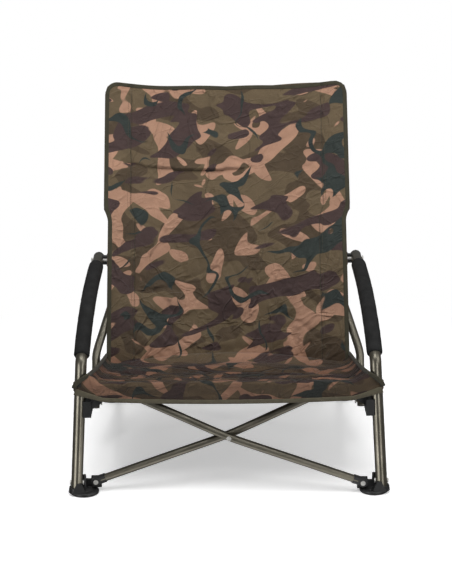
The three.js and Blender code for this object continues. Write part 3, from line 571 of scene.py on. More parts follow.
def circle(radius, count):
    angles = [2 * math.pi * i / count for i in range(count)]
    return [(radius * math.cos(angle), radius * math.sin(angle)) for angle in angles]


def roundedRect(width, height, corner, steps=3):
    points = []
    for cx, cy, start in ((1, 1, 0), (-1, 1, 90), (-1, -1, 180), (1, -1, 270)):
        for i in range(steps + 1):
            angle = math.radians(start + 90 * i / steps)
            points.append((
                cx * (width / 2 - corner) + corner * math.cos(angle),
                cy * (height / 2 - corner) + corner * math.sin(angle),
            ))
    return points


def makeTube(name, path, radius, body, replaced):
    bm = bmesh.new()
    sweep(bm, circle(radius, tubing["count"]), path, (1, 0, 0), level=False)
    settle(toObject(name, bm, paint, 50), body, "frame_tube", replaced)


def makeStrip(name, profile, path, up, material, body, slotName="camouflage_cloth", replaced=(), sizes=None):
    bm = bmesh.new()
    sweep(bm, profile, path, up, sizes=sizes)
    return settle(toObject(name, bm, material), body, slotName, *replaced)


def rod(bm, a, b, radius, endRadius, count):
    direction = b - a
    turn = direction.to_track_quat("Z", "Y").to_matrix().to_4x4()
    bmesh.ops.create_cone(
        bm, cap_ends=True, segments=count, radius1=radius, radius2=endRadius,
        depth=direction.length, matrix=Matrix.Translation((a + b) / 2) @ turn,
    )


def slab(bm, centre, size, turn=Matrix.Identity(4)):
    matrix = Matrix.Translation(centre) @ turn @ Matrix.Diagonal((*size, 1))
    bmesh.ops.create_cube(bm, size=1, matrix=matrix)


def roundEdges(obj, width, angle):
    modifier = obj.modifiers.new("rounded", "BEVEL")
    modifier.width = width
    modifier.segments = 2
    modifier.limit_method = "ANGLE"
    modifier.angle_limit = math.radians(angle)
    modifier.harden_normals = True


# Legs, arms, uprights and bars
tubing = {"legSteps": 90, "uprightSteps": 60, "barSteps": 30, "rearSteps": 12, "count": 28}


def legPath(side):
    straight = lines["legStraight"]
    heights = (lines["legEnd"], (lines["legEnd"] + straight) / 2, straight - lines["legRadius"], straight)
    points = [at(side * legX(z), 0, z) for z in heights]
    for depth, rise in armShares:
        z = mix(straight, lines["armHeight"], rise)
        points.append(at(side * legX(z), lines["armDepth"] * depth, z))
    return splinePath(points, tubing["legSteps"])


def uprightPath(side):
    top, low = lines["uprightTop"], lines["uprightFootSpacing"] / 2
    bendTop, bendLow = lines["uprightBendTop"], lines["uprightBendBottom"]
    wide = 2 * lines["uprightRadius"]
    spots = [
        (top, uprightX(top)), ((top + bendTop) / 2, uprightX((top + bendTop) / 2)),
        (bendTop + wide, uprightX(bendTop + wide)), (bendTop, uprightX(bendTop)),
        ((bendTop + bendLow) / 2, (uprightX(bendTop) + low) / 2), (bendLow, low),
        (bendLow - wide, low), (lines["uprightEnd"], low),
    ]
    return splinePath([at(side * x, uprightY(z), z) for z, x in spots], tubing["uprightSteps"])


def pairPoint(pair, x, up, lift):
    return rearPoint(x, up, lift) if pair == "rear" else at(x, lift, lines["pinHeight"] + up)


lifts = {
    "front": {"left": lines["barPitch"], "right": 0.0},
    "rear": {"left": lines["rearBarLift"] + lines["barPitch"], "right": lines["rearBarLift"]},
}


def barPath(pair, name):
    side, lift = sides[name], lifts[pair][name]
    pin = pairPoint(pair, side * lines["pinSpacing"] / 2, 0, lift)
    pivot = pairPoint(pair, 0, lines["pivotRise"], lift)
    end = pairPoint(pair, -side * lines["endSpacing"] / 2, lines["endRise"], lift)
    lower, upper = (pivot - pin).normalized(), (end - pivot).normalized()
    bend = 2 * lines["barRadius"]
    return splinePath([
        pin + lower * lines["barStart"], (pin + pivot) / 2, pivot - lower * bend,
        pivot + upper * bend, (pivot + end) / 2, end,
    ], tubing["barSteps"])


legPaths = {name: legPath(side) for name, side in sides.items()}
for name, side in sides.items():
    body = bodyOf[name]
    makeTube(name + "LegTube", legPaths[name], lines["legRadius"], body, name + "_leg_arm_tube")
    makeTube(name + "UprightTube", uprightPath(side), lines["uprightRadius"], body, name + "_upright")
    rearX = side * lines["rearLegSpacing"] / 2
    rearFront = at(rearX, lines["rearLegFront"], lines["rearLegFrontHeight"])
    rearLine = evenly([rearFront, rearPoint(rearX, lines["rearPinGap"], 0)], tubing["rearSteps"])
    makeTube(name + "RearLegTube", rearLine, lines["barRadius"], body, name + "_rear_leg")
for pair in ("front", "rear"):
    for name in sides:
        bar = f"{pair}_{name}"
        title = f"{pair}{name.title()}BarTube"
        makeTube(title, barPath(pair, name), lines["barRadius"], bar + "_cross_bar", bar + "_bar")
print("tubes made")


# Foam grips
foam = {
    "radius": 0.015, "start": 0.014, "endInset": 0.085, "steps": 110, "round": 0.005, "roundShare": 0.16,
    "swellShare": 0.012, "uneven": 0.00035, "count": 40,
}


def makeFoamGrip(name, side):
    path = legPaths[name]
    straight = (lines["legStraight"] - lines["legEnd"]) * math.hypot(1, legLean)
    grip = partOfPath(path, straight + foam["start"], pathLength(path) - foam["endInset"], foam["steps"])
    length = pathLength(grip)
    sizes = []
    for i in range(len(grip)):
        reach = min(i, len(grip) - 1 - i) / foam["steps"] * length
        edge = clamp(reach / foam["round"])
        size = 1 - foam["roundShare"] * (1 - math.sqrt(1 - (1 - edge) ** 2))
        sizes.append(size + foam["swellShare"] * noiseAt(i * 0.14, side * 3.0, 0.5))
    bm = bmesh.new()
    sweep(bm, circle(foam["radius"], foam["count"]), grip, (1, 0, 0), level=False, sizes=sizes)
    for vert in bm.verts:
        vert.co += Vector((1, 0, 0)) * foam["uneven"] * noise.noise(vert.co * 90)
    grip = settle(toObject(name + "FoamGrip", bm, foamSkin, 60), bodyOf[name], "foam", name + "_arm_foam")


for name, side in sides.items():
    makeFoamGrip(name, side)
print("foam made")


# Back cloth
back = {
    "seam": 0.146, "over": 0.0115, "lowHalf": 0.2515, "highHalf": 0.2605, "step": 0.440, "stepSpan": 0.030,
    "gap": 0.0003, "sleeve": 0.0012, "cupInset": 0.0104, "flatTop": 0.012, "topFade": 0.03, "topWave": 0.0015,
    "dip": 0.010, "corner": 0.029, "hollow": 0.068, "hollowTop": 0.007, "pocket": 0.056, "thick": 0.0011,
    "tape": 0.0090, "tapeThick": 0.0024, "across": 104, "sleeveAcross": 16, "along": 200,
    "pocketAcross": 24, "pocketAlong": 70, "pocketLowShare": 0.20, "pocketGap": 0.0014, "pocketEase": 1.9,
}
# The long fold across the upper back stands out above and hangs over the cloth below it.
longFold = {
    "height": 0.543, "bow": 0.012, "middle": -0.05, "half": 0.2, "end": 0.09, "fade": 0.12,
    "rise": 0.0062, "riseLength": 0.024, "under": 0.0045, "underLength": 0.009,
    "drop": 0.0048, "dropLength": 0.010,
}
# Depths of the small creases, in metres
creases = {
    "soft": 0.0016, "pressed": 0.0014, "pressedLow": 0.0028, "pull": 0.0016, "roll": 0.0018,
    "seam": 0.0018, "pucker": 0.0010,
}
backLength = (lines["uprightTop"] + back["over"] - back["seam"]) / math.cos(lines["recline"])
backOffset = lines["uprightRadius"] + back["gap"] + back["sleeve"]


def backHeight(s):
    return back["seam"] + s * math.cos(lines["recline"])


def backHalf(z):
    share = smooth((z - back["step"]) / back["stepSpan"] + 0.5)
    return mix(back["lowHalf"], back["highHalf"], share)


def ridge(x, z, seed, width):
    # 1 on the zero line of a noise, falling to 0 at a distance of width
    return max(0.0, 1 - abs(noiseAt(x, z, seed)) / width) ** 2


# The back's main folds, as in the solid: middle, slant in degrees, length, width and depth.
backFolds = [
    (-0.060, 0.463, 3, 0.150, 0.026, 0.005), (0.020, 0.545, -4, 0.140, 0.032, 0.003),
    (-0.060, 0.343, -50, 0.100, 0.028, 0.006), (0.090, 0.330, 52, 0.110, 0.028, 0.005),
    (0.015, 0.255, 80, 0.090, 0.032, -0.005), (-0.125, 0.215, -38, 0.095, 0.028, 0.006),
    (0.130, 0.200, 34, 0.095, 0.028, 0.006), (-0.005, 0.110, 4, 0.150, 0.026, 0.007),
]


def mainFolds(x, s):
    depth = 0.0
    for foldX, foldS, slant, length, width, deep in backFolds:
        angle = math.radians(slant)
        along = (x - foldX) * math.cos(angle) + (s - foldS) * math.sin(angle)
        across = (s - foldS) * math.cos(angle) - (x - foldX) * math.sin(angle)
        depth += deep * math.exp(-(along / length) ** 2 - (across / width) ** 2)
    return depth


def overLongFold(x, z, inner):
    # Height over the long fold, and how much of the fold there is
    arc = longFold["height"] - longFold["bow"] * (1 - ((x - longFold["middle"]) / longFold["half"]) ** 2)
    fade = smooth((longFold["end"] - x) / longFold["fade"]) * smooth((1 - inner) / longFold["fade"])
    return z - arc, fade * (1 - inner ** 2)


def backRelief(x, z, inner):
    # Small creases of the hanging cloth, in metres towards the front
    free = smooth((1 - inner ** 2) * 2.6)
    d, fade = overLongFold(x, z, inner)
    if d > 0:
        fold = longFold["rise"] * math.exp(-d / longFold["riseLength"])
    else:
        fold = -longFold["under"] * math.exp(d / longFold["underLength"])
    relief = fold * fade + creases["soft"] * noiseAt(x * 17, z * 12, 7.7) * free
    # Slanting pressed folds, deeper towards the seat
    pressed = creases["pressed"] + creases["pressedLow"] * smooth((0.50 - z) / 0.33)
    slant = x * 0.8 + z * 0.6
    across = -x * 0.6 + z * 0.8
    relief -= pressed * ridge(slant * 6.0, across * 16, 3.3, 0.12) * free
    relief -= pressed * ridge(across * 6.5 + 9, slant * 18, 8.1, 0.12) * free
    # Pull lines running up from the lower corners
    pull = math.sin((abs(x) * 0.9 - z * 1.5) * 190 + 6 * noiseAt(x * 4, z * 4, 2))
    relief += creases["pull"] * smooth((0.33 - z) / 0.17) * smooth((abs(x) - 0.05) / 0.1) * pull * free
    # Rolls of slack cloth above the seat
    roll = math.sin(z * 300 + 7 * noiseAt(x * 3.2, z * 3, 6))
    relief += creases["roll"] * smooth((0.235 - z) / 0.05) * roll * (0.5 + noiseAt(x * 5, z * 3, 1)) * free
    # The seam of the side pockets draws the cloth in.
    seam = abs(x) - (backHalf(z) - back["pocket"])
    relief -= creases["seam"] * math.exp(-(seam / 0.0045) ** 2) * (0.7 + 0.5 * noiseAt(z * 40, x, 4))
    relief -= creases["pucker"] * ridge(x * 9, z * 34, 5.5, 0.2) * math.exp(-(seam / 0.02) ** 2)
    return relief


def backSurface(x, s, creased=True):
    z = backHeight(s)
    depth = mix(back["hollow"], back["hollowTop"], math.sqrt(clamp(s / backLength)))
    inner = min(1.0, abs(x) / (uprightX(z) - back["cupInset"]))
    base = at(x, uprightY(back["seam"]), back["seam"])
    out = backOffset - (depth + mainFolds(x, s)) * (1 - inner ** 2)
    drop = 0.0
    if creased:
        out += backRelief(x, z, inner) * clamp((backLength - back["flatTop"] - s) / back["topFade"])
        d, fade = overLongFold(x, z, inner)
        drop = longFold["drop"] * fade * math.exp(-d / longFold["dropLength"]) if d > 0 else 0.0
    return base + uprightAxis * (s - drop) + uprightFront * out


def backTopAt(x):
    # Distance along the slope of the top edge: it sags between its rounded corners.
    wide = backHalf(lines["uprightTop"])
    into = clamp((abs(x) - (wide - back["corner"])) / back["corner"])
    rounding = back["corner"] * (1 - math.sqrt(1 - into ** 2))
    sag = back["dip"] * (1 - (abs(x) / wide) ** 2) ** 0.8 + back["topWave"] * math.sin(x * 31)
    return backLength - sag - rounding


def gridCloth(name, across, along, place, thick):
    # A fine grid whose points place(u, v) puts in space, with UVs in metres. Its area comes with it.
    bm = bmesh.new()
    bmesh.ops.create_grid(bm, x_segments=across, y_segments=along, size=0.5, calc_uvs=True)
    layer = bm.loops.layers.uv.verify()
    for vert in bm.verts:
        vert.co, uv = place(vert.co.x + 0.5, vert.co.y + 0.5)
        for loop in vert.link_loops:
            loop[layer].uv = uv
    # The faces are turned alike before their areas are summed.
    bmesh.ops.recalc_face_normals(bm, faces=bm.faces)
    area = sum(face.calc_area() for face in bm.faces)
    obj = toObject(name, bm, cloth)
    shell = obj.modifiers.new("cloth thickness", "SOLIDIFY")
    shell.thickness = thick
    shell.offset = 0
    return obj, area


def placeBack(part):
    # Part 1 is the panel between the seams of the sleeves, parts 0 and 2 are the fronts of the sleeves.
    def place(u, v):
        half = backHalf(mix(back["seam"], lines["uprightTop"], v))
        seam = half - back["pocket"]
        columns = (-half, -seam, seam, half)
        x = mix(columns[part], columns[part + 1], u)
        s = v * backTopAt(x)
        return backSurface(x, s), (x, s)
    return place


def placePocket(side):
    # The back layer of a side sleeve, round the rear of the upright
    def place(u, v):
        s = mix(back["pocketLowShare"], 1.0, v) * (backLength - back["corner"])
        z = backHeight(s)
        x = backHalf(z) - back["pocket"] * u
        away = (x - uprightX(z)) / (lines["uprightRadius"] * back["pocketEase"])
        belly = 2 * (lines["uprightRadius"] + back["sleeve"]) * math.exp(-abs(away) ** 3)
        taper = smooth(u / 0.06) * smooth((1 - u) / 0.2)
        gap = back["pocketGap"] + belly * taper
        return backSurface(side * x, s) - uprightFront * gap, (3 + u * back["pocket"], s)
    return place


backCloth, backArea = gridCloth("backCloth", back["across"], back["along"], placeBack(1), back["thick"])
settle(backCloth, "left_frame", "camouflage_cloth", "back_sling")
for name, part in (("left", 0), ("right", 2)):
    grid = (back["sleeveAcross"], back["along"])
    front, frontArea = gridCloth(name + "SleeveFront", *grid, placeBack(part), back["thick"])
    settle(front, bodyOf[name], "camouflage_cloth", "back_sling")

stitch = {
    "length": 0.0030, "pitch": 0.0042, "radius": 0.00035, "rows": (0.0, 0.0060), "sides": 6,
    "start": 0.03, "endGap": 0.004, "lift": 0.0002,
}


def sleeveStitches(name, side):
    # Rows of short threads that lie on the cloth
    bm = bmesh.new()
    top = backLength - back["corner"] - stitch["endGap"]
    lift = uprightFront * (back["thick"] / 2 + stitch["lift"])
    for row in stitch["rows"]:
        s = stitch["start"]
        while s + stitch["length"] < top:
            x = side * (backHalf(backHeight(s)) - back["pocket"] + row)
            ends = [backSurface(x, s + offset) + lift for offset in (0, stitch["length"])]
            rod(bm, *ends, stitch["radius"], stitch["radius"], stitch["sides"])
            s += stitch["pitch"]
    return settle(toObject(name + "SleeveStitches", bm, thread), bodyOf[name], "camouflage_cloth")


sleeveSeams = {name: sleeveStitches(name, side) for name, side in sides.items()}
for name, side in sides.items():
    grid = (back["pocketAcross"], back["pocketAlong"])
    pocket, pocketArea = gridCloth(name + "SleeveBack", *grid, placePocket(side), back["thick"])
    settle(pocket, bodyOf[name], "camouflage_cloth")


def sleeveEdgePath():
    # Up the left side, round the corner and along the top to the sleeve's seam
    wide = backHalf(lines["uprightTop"])
    heights = [(backLength - back["corner"]) * i / 60 for i in range(61)]
    points = [backSurface(-backHalf(backHeight(s)), s) for s in heights]
    insets = [back["corner"] * (1 - math.cos(math.pi / 2 * i / 12)) for i in range(1, 13)]
    insets += [mix(back["corner"], back["pocket"], i / 5) for i in range(1, 6)]
    points += [backSurface(inset - wide, backTopAt(inset - wide)) for inset in insets]
    return evenly(points, 60)


def topEdgePath():
    wide = backHalf(lines["uprightTop"]) - back["pocket"]
    points = [backSurface(x, backTopAt(x)) for x in (-wide * (1 - i / 36) for i in range(37))]
    return evenly(points + mirroredPath(points)[1:], 42)


def mirroredPath(points):
    return [Vector((-p.x, p.y, p.z)) for p in reversed(points)]


def backTape(name, path, body):
    # A tape folded over the edge of the cloth
    width, thick = back["tape"], back["tapeThick"]
    profile = [(x - width / 2, y) for x, y in roundedRect(width, thick, thick * 0.45)]
    return makeStrip(name, profile, path, uprightFront, darkTape, body)


sleeveEdge = sleeveEdgePath()
topTape = backTape("backTopTape", topEdgePath(), "left_frame")
sleeveTapes = {
    "left": backTape("leftSleeveTape", sleeveEdge, "left_frame"),
    "right": backTape("rightSleeveTape", mirroredPath(sleeveEdge), "right_frame"),
}
print("back made")


# Seat cloth, from the back over the front edge and down to the hem
seat = {
    "frontZ": 0.2275, "frontY": -0.0135, "roll": 0.0065, "sag": 0.017, "rearUp": 0.034, "rearGap": 0.004,
    "foldDepth": 0.0045, "folds": 4, "foldSlant": 0.35, "across": 130, "along": 110, "thick": 0.0012,
    "hemZ": 0.1945, "hemSag": 0.0080, "cornerZ": 0.2090, "cornerX": 0.2905, "inset": 0.003,
    "sideX": 0.2660, "sideY": -0.0105, "sideZ": 0.2410, "sideRear": 0.033, "sideLift": 0.002,
    "sideDip": 0.004, "rearRise": 0.0048,
    "topShare": 0.62, "rollShare": 0.3, "rearTurn": 0.012, "patternFront": -0.26, "patternDrop": 0.062,
}
# Depths of the seat's creases and of the valance's ripples, in metres
seatCreases = {"across": 0.0022, "pressed": 0.0034, "pressedFine": 0.0026, "soft": 0.0014, "tuck": 0.002}
valance = {"bow": 0.0006, "ripple": 0.0020, "pleat": 0.0014}
webbing = {
    "width": 0.015, "thick": 0.0034, "corner": 0.0014, "frontX": 0.2673, "backX": 0.2624, "frontZ": 0.2205,
    "rise": 0.0075, "dip": 0.004, "steps": 40,
}
hem = {
    "width": 0.0085, "thick": 0.0034, "corner": 0.0008, "gap": 0.0004, "drop": 0.0015, "endShare": 0.5,
    "steps": 120,
}
# The valance's end wraps round the leg.
wrap = {"radius": 0.0125, "thick": 0.0016, "width": 0.0165, "corner": 0.0007, "drop": 0.001, "steps": 48}
# The binding runs along the seat's side, over the front of the leg and down to the hem.
binding = {
    "thick": 0.0048, "width": 0.0088, "corner": 0.0020, "sideSteps": 30, "steps": 80,
    "end": (
        (0.2730, -0.0140, 0.2378), (0.2800, -0.0152, 0.2330),
        (0.2880, -0.0152, 0.2262), (0.2915, -0.0145, 0.2185),
    ),
}


def hemZ(x):
    reach = abs(x) / seat["cornerX"]
    level = seat["hemZ"] - seat["hemSag"] * (1 - reach ** 2)
    return mix(level, seat["cornerZ"], clamp((reach - 0.81) / 0.19) ** 1.15)


def sideFade(a):
    return smooth((abs(a) - 0.88) / 0.12)


def seatSide(side, v):
    # The raised side of the seat, from the back's edge to the inner side of the leg
    rear = backSurface(side * back["lowHalf"], seat["sideRear"], False) + uprightFront * seat["sideLift"]
    point = rear.lerp(at(side * seat["sideX"], seat["sideY"], seat["sideZ"]), v)
    point.z -= seat["sideDip"] * math.sin(math.pi * v)
    return point


def seatTop(a, v):
    # From the rear edge, v = 0, to the front edge, v = 1. The large form is the solid's.
    bow = 1 - a ** 2
    rearS = seat["rearUp"] * bow + seat["rearRise"]
    rear = backSurface(a * (webbing["backX"] - seat["inset"]), rearS, False) + uprightFront * seat["rearGap"]
    front = at(a * (webbing["frontX"] - seat["inset"]), seat["frontY"] + seat["roll"], seat["frontZ"])
    point = rear.lerp(front, v)
    arch = math.sin(math.pi * v)
    point.z -= seat["sag"] * arch * (1 - a ** 2 / 2)
    fade = math.sqrt(max(arch, 0)) * (1 - a ** 4)
    turns = seat["folds"] * (1 - v) + seat["foldSlant"] * a ** 2
    point.z += seat["foldDepth"] * fade * math.sin(2 * math.pi * turns)
    # Where it meets the back the cloth turns up along it.
    turned = uprightAxis * seat["rearTurn"] - uprightFront * seatCreases["tuck"]
    point += turned * math.exp(-v / 0.035) * bow
    # Fine folds that run across, closer together towards the front
    near = smooth((v - 0.10) / 0.3) * smooth((1.03 - v) / 0.12)
    fold = math.sin(v * 62 + 8 * noiseAt(a * 1.9, v * 2.0, 5.1) + a * 1.5)
    point.z += seatCreases["across"] * near * fold * (0.55 + 0.6 * noiseAt(a * 3.1, v * 3, 9))
    point.z -= seatCreases["pressed"] * near * ridge(a * 2.6, v * 10, 4.4, 0.12)
    point.z -= seatCreases["pressedFine"] * near * ridge(a * 4.0 + 4, v * 8, 1.7, 0.11)
    point.z += seatCreases["soft"] * noiseAt(a * 8, v * 10, 6.1) * math.sqrt(max(arch, 0))
    return point.lerp(seatSide(1 if a > 0 else -1, v), sideFade(a))


def seatRearAt(a):
    # How far up the back the seat's rear edge lies, so that the pattern goes on from the back's
    up = (seat["rearUp"] + seat["rearTurn"]) * (1 - a ** 2) + seat["rearRise"]
    return mix(up, seat["sideRear"], sideFade(a))


def placeSeat(u, v):
    a = 2 * u - 1
    if v <= seat["topShare"]:
        t = v / seat["topShare"]
        point = seatTop(a, t)
        return point, (point.x, mix(seatRearAt(a), seat["patternFront"], t))
    # The valance turns down over the front edge and hangs to the hem.
    t = (v - seat["topShare"]) / (1 - seat["topShare"])
    top = seatTop(a, 1.0).z
    x = a * mix(webbing["frontX"] - seat["inset"], seat["cornerX"], clamp(t / 0.5))
    if t < seat["rollShare"]:
        angle = math.pi / 2 * t / seat["rollShare"]
        y = seat["frontY"] + seat["roll"] * (1 - math.sin(angle))
        z = top - seat["roll"] * (1 - math.cos(angle))
    else:
        w = (t - seat["rollShare"]) / (1 - seat["rollShare"])
        arch = math.sin(math.pi * w)
        y = seat["frontY"] - valance["bow"] * arch * (1 - a ** 2)
        y += valance["ripple"] * noiseAt(a * 7, w * 1.5, 3.3) * arch * smooth((1 - w) / 0.5)
        y += valance["pleat"] * ridge(a * 6, w * 0.8, 2.8, 0.2) * arch
        z = mix(top - seat["roll"], hemZ(x), w)
    return at(x, y, z), (x, seat["patternFront"] - seat["patternDrop"] * t)


seatCloth, seatArea = gridCloth("seatCloth", seat["across"], seat["along"], placeSeat, seat["thick"])
settle(seatCloth, "left_frame", "camouflage_cloth", "seat_sling", "seat_valance")


def makeHem():
    path = []
    sizes = []
    for i in range(hem["steps"] + 1):
        x = mix(-seat["cornerX"], seat["cornerX"], i / hem["steps"])
        sizes.append(1 + hem["endShare"] * smooth((abs(x) / seat["cornerX"] - 0.84) / 0.16))
        path.append(at(x, seat["frontY"] - hem["gap"], hemZ(x) + hem["width"] / 2 - hem["drop"]))
    profile = roundedRect(hem["width"], hem["thick"], hem["corner"])
    return makeStrip("seatHemTape", profile, path, (0, -1, 0), hemTape, "left_frame", sizes=sizes)


def makeWebbing(name, side):
    low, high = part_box(name + "_seat_webbing")
    path = []
    for i in range(webbing["steps"] + 1):
        t = i / webbing["steps"]
        x = side * mix(webbing["frontX"], webbing["backX"], t)
        z = mix(webbing["frontZ"], back["seam"] + webbing["rise"], t) - webbing["dip"] * math.sin(math.pi * t)
        path.append(at(x, mix(low[1], high[1], t) - shiftY, z))
    profile = roundedRect(webbing["thick"], webbing["width"], webbing["corner"])
    replaced = [name + "_seat_webbing"]
    makeStrip(name + "SeatEdge", profile, path, (0, 0, 1), darkTape, bodyOf[name], "webbing", replaced)


def makeWrap(name, side):
    z = (seat["cornerZ"] + seat["frontZ"]) / 2 - wrap["drop"]
    centre = at(side * legX(z), 0, z)
    path = [centre + Vector((x, y, 0)) for x, y in circle(wrap["radius"], wrap["steps"])]
    profile = roundedRect(wrap["thick"], wrap["width"], wrap["corner"])
    makeStrip(name + "CornerWrap", profile, path + [path[0].copy()], (0, 0, 1), cloth, bodyOf[name])


def makeBinding(name, side):
    points = [seatSide(side, i / binding["sideSteps"]) for i in range(binding["sideSteps"] + 1)]
    points += [at(side * x, y, z) for x, y, z in binding["end"]]
    path = evenly(splinePath(points, 120), binding["steps"])
    profile = roundedRect(binding["thick"], binding["width"], binding["corner"])
    return makeStrip(name + "SeatBinding", profile, path, (0, 0, 1), darkTape, "left_frame")


hemObject = makeHem()
seatBindings = []
for name, side in sides.items():
    makeWebbing(name, side)
    makeWrap(name, side)
    seatBindings.append(makeBinding(name, side))
print("seat made")


# Feet
foot = {
    "sunk": 0.005, "weld": 1e-5, "gap": 0.0008, "bridgeLevel": 0.02,
    "socketLow": 0.0156, "socketHigh": 0.0145, "socketBottom": 0.004, "socketTop": 0.015,
    "lug": 0.007, "lugWidth": 0.020, "lugZ": 0.0155, "lugHeight": 0.023,
    "bridgeZ": 0.0125, "bridgeHeight": 0.017, "edge": 0.0007,
    "bossY": 0.007, "bossTop": 0.035, "bossLow": 0.0038, "bossHigh": 0.0032,
    "ribAngles": (35, 80, 125, 250), "ribReach": 0.016, "rib": (0.016, 0.0022, 0.0036),
}
# A disc with a rounded rim, a shallow dish and a raised hub. Its points count in from the rim, those of the
# underside up from the floor and those of the top down from the hub.
disc = {
    "radius": 0.028, "thick": 0.009, "steps": 48, "underside": ((0.003, 0), (0.0008, 0.0008), (0, 0.003)),
    "top": ((0, 0.004), (0.0012, 0.0018), (0.004, 0.0010), (0.007, 0.0022), (0.012, 0.0018), (0.014, 0)),
}
# The slanting rib in front of the leg: width, depth and height at its base and at its top.
gusset = {"y": -0.0052, "level": 0.009, "sizes": ((0.027, 0.0112, 0.006), (0.009, 0.0070, 0.025))}
rearFoot = {
    "socketUp": 0.011, "socketLift": -0.0005, "socket": (0.028, 0.046, 0.021), "postLow": 0.0150,
    "postHigh": 0.0130, "postDrop": 0.006, "bossLow": 0.0095, "bossHigh": 0.0088, "edge": 0.0009,
}


def spinDisc(bm, centre):
    points = [(0, 0)] + [(disc["radius"] - inset, z) for inset, z in disc["underside"]]
    points += [(disc["radius"] - inset, disc["thick"] - drop) for inset, drop in disc["top"]]
    points.append((0, disc["thick"]))
    verts = [bm.verts.new(centre + Vector((x, 0, z))) for x, z in points]
    edges = [bm.edges.new(pair) for pair in zip(verts, verts[1:])]
    bmesh.ops.spin(
        bm, geom=verts + edges, cent=centre, axis=(0, 0, 1), angle=2 * math.pi, steps=disc["steps"],
        use_merge=True, use_duplicate=False,
    )
    bmesh.ops.remove_doubles(bm, verts=bm.verts, dist=foot["weld"])


def makeGusset(bm, middle):
    corners = []
    for width, depth, z in gusset["sizes"]:
        for sx, sy in ((-1, 0), (1, 0), (1, 1), (-1, 1)):
            corners.append(bm.verts.new(at(middle + sx * width / 2, gusset["y"] - sy * depth, z)))
    low, high = corners[:4], corners[4:]
    bm.faces.new(low[::-1])
    bm.faces.new(high)
    for i in range(4):
        bm.faces.new((low[i], low[(i + 1) % 4], high[(i + 1) % 4], high[i]))


def finishFoot(bm, title, body, replaced, edge):
    obj = toObject(title, bm, plastic, 35)
    roundEdges(obj, edge, 35)
    settle(obj, body, "black_plastic", replaced)


def makeFrontFoot(name, side):
    bm = bmesh.new()
    centre = at(side * (lines["legSpacing"] / 2 - lines["discInset"]), lines["discSetback"], 0)
    spinDisc(bm, centre)
    bottom, top = (at(side * legX(z), 0, z) for z in (foot["socketBottom"], foot["socketTop"]))
    rod(bm, bottom, top, foot["socketLow"], foot["socketHigh"], 32)
    # The lug carries the bar's pin, and a bridge joins it to the socket.
    pinX, legSide = side * lines["pinSpacing"] / 2, side * legX(foot["bridgeLevel"])
    lugY = lifts["front"][name] + lines["barRadius"] + foot["gap"] + foot["lug"] / 2
    slab(bm, at(pinX, lugY, foot["lugZ"]), (foot["lugWidth"], foot["lug"], foot["lugHeight"]))
    bridge = (abs(pinX - legSide), foot["lug"], foot["bridgeHeight"])
    slab(bm, at((pinX + legSide) / 2, lugY, foot["bridgeZ"]), bridge)
    bossBottom, bossTop = (centre + Vector((0, foot["bossY"], z)) for z in (foot["sunk"], foot["bossTop"]))
    rod(bm, bossBottom, bossTop, foot["bossLow"], foot["bossHigh"], 20)
    makeGusset(bm, side * (legX(gusset["level"]) - lines["legRadius"] / 2))
    for degrees in foot["ribAngles"]:
        angle = math.radians(degrees)
        reach = Vector((math.cos(angle), math.sin(angle), 0)) * foot["ribReach"]
        slab(bm, centre + reach + Vector((0, 0, disc["thick"])), foot["rib"], Matrix.Rotation(angle, 4, "Z"))
    finishFoot(bm, name + "FrontFoot", bodyOf[name], name + "_front_foot", foot["edge"])


def makeRearFoot(name, side):
    bm = bmesh.new()
    pinX = side * lines["pinSpacing"] / 2
    centre = at(pinX, lines["rearPinDepth"], 0)
    spinDisc(bm, centre)
    socketAt = rearPoint(pinX, rearFoot["socketUp"], rearFoot["socketLift"])
    slab(bm, socketAt, rearFoot["socket"], Matrix.Rotation(-rearSlope, 4, "X"))
    postTop = lines["rearPinHeight"] - rearFoot["postDrop"]
    bottom, top = (centre + Vector((0, 0, z)) for z in (foot["sunk"], postTop))
    rod(bm, bottom, top, rearFoot["postLow"], rearFoot["postHigh"], 32)
    lift = lifts["rear"][name] - lines["barRadius"] - foot["gap"]
    bossTop = rearPoint(pinX, 0, lift)
    rod(bm, rearPoint(pinX, 0, 0), bossTop, rearFoot["bossLow"], rearFoot["bossHigh"], 28)
    finishFoot(bm, name + "RearFoot", bodyOf[name], name + "_rear_foot", rearFoot["edge"])


for name, side in sides.items():
    makeFrontFoot(name, side)
    makeRearFoot(name, side)
print("feet made")


# Nodes whose own shape is right keep it, with softened edges and a finish.
kept = {
    "_arm_end_plug": plastic, "_arm_bracket": plastic, "_upright_cap": plastic, "_upright_spacer": plastic,
    "_front_block": plastic, "_rear_saddle": plastic, "_bar_fitting": plastic, "_bar_cap": plastic,
    "_pin": steel, "_rivet": steel, "_bolt": steel,
}
softening = {"weld": 0.00002, "width": 0.0005, "angle": 40}
for nodeName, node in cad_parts.items():
    for ending, material in kept.items():
        if nodeName.endswith(ending):
            node.data.materials.clear()
            node.data.materials.append(material)
            weld = node.modifiers.new("weld", "WELD")
            weld.merge_threshold = softening["weld"]
            roundEdges(node, softening["width"], softening["angle"])
print("kept nodes finished")


def closeUp(obj):
    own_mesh(obj)


# The sleeves stay on their uprights. The back panel, its top tape, the seat, the hem and the seat's bindings
# each get a mesh of their own.
for obj in (backCloth, topTape):
    closeUp(obj)
for obj in [seatCloth, hemObject] + seatBindings:
    closeUp(obj)


# Studio
studio = {
    "focal": 1800, "frameWidth": 452, "sensor": 36, "height": 1.269, "distance": 3.243, "pitch": 15.0,
    "roll": -0.45, "shiftPixels": 1.8, "floor": 0.93, "floorSize": 8, "floorDrop": 0.0005, "floorGlow": 0.42,
    "floorBounce": 0.45, "floorNear": 0.5, "floorFar": 1.1, "roomLight": 0.15, "roomForGloss": 0.13,
}
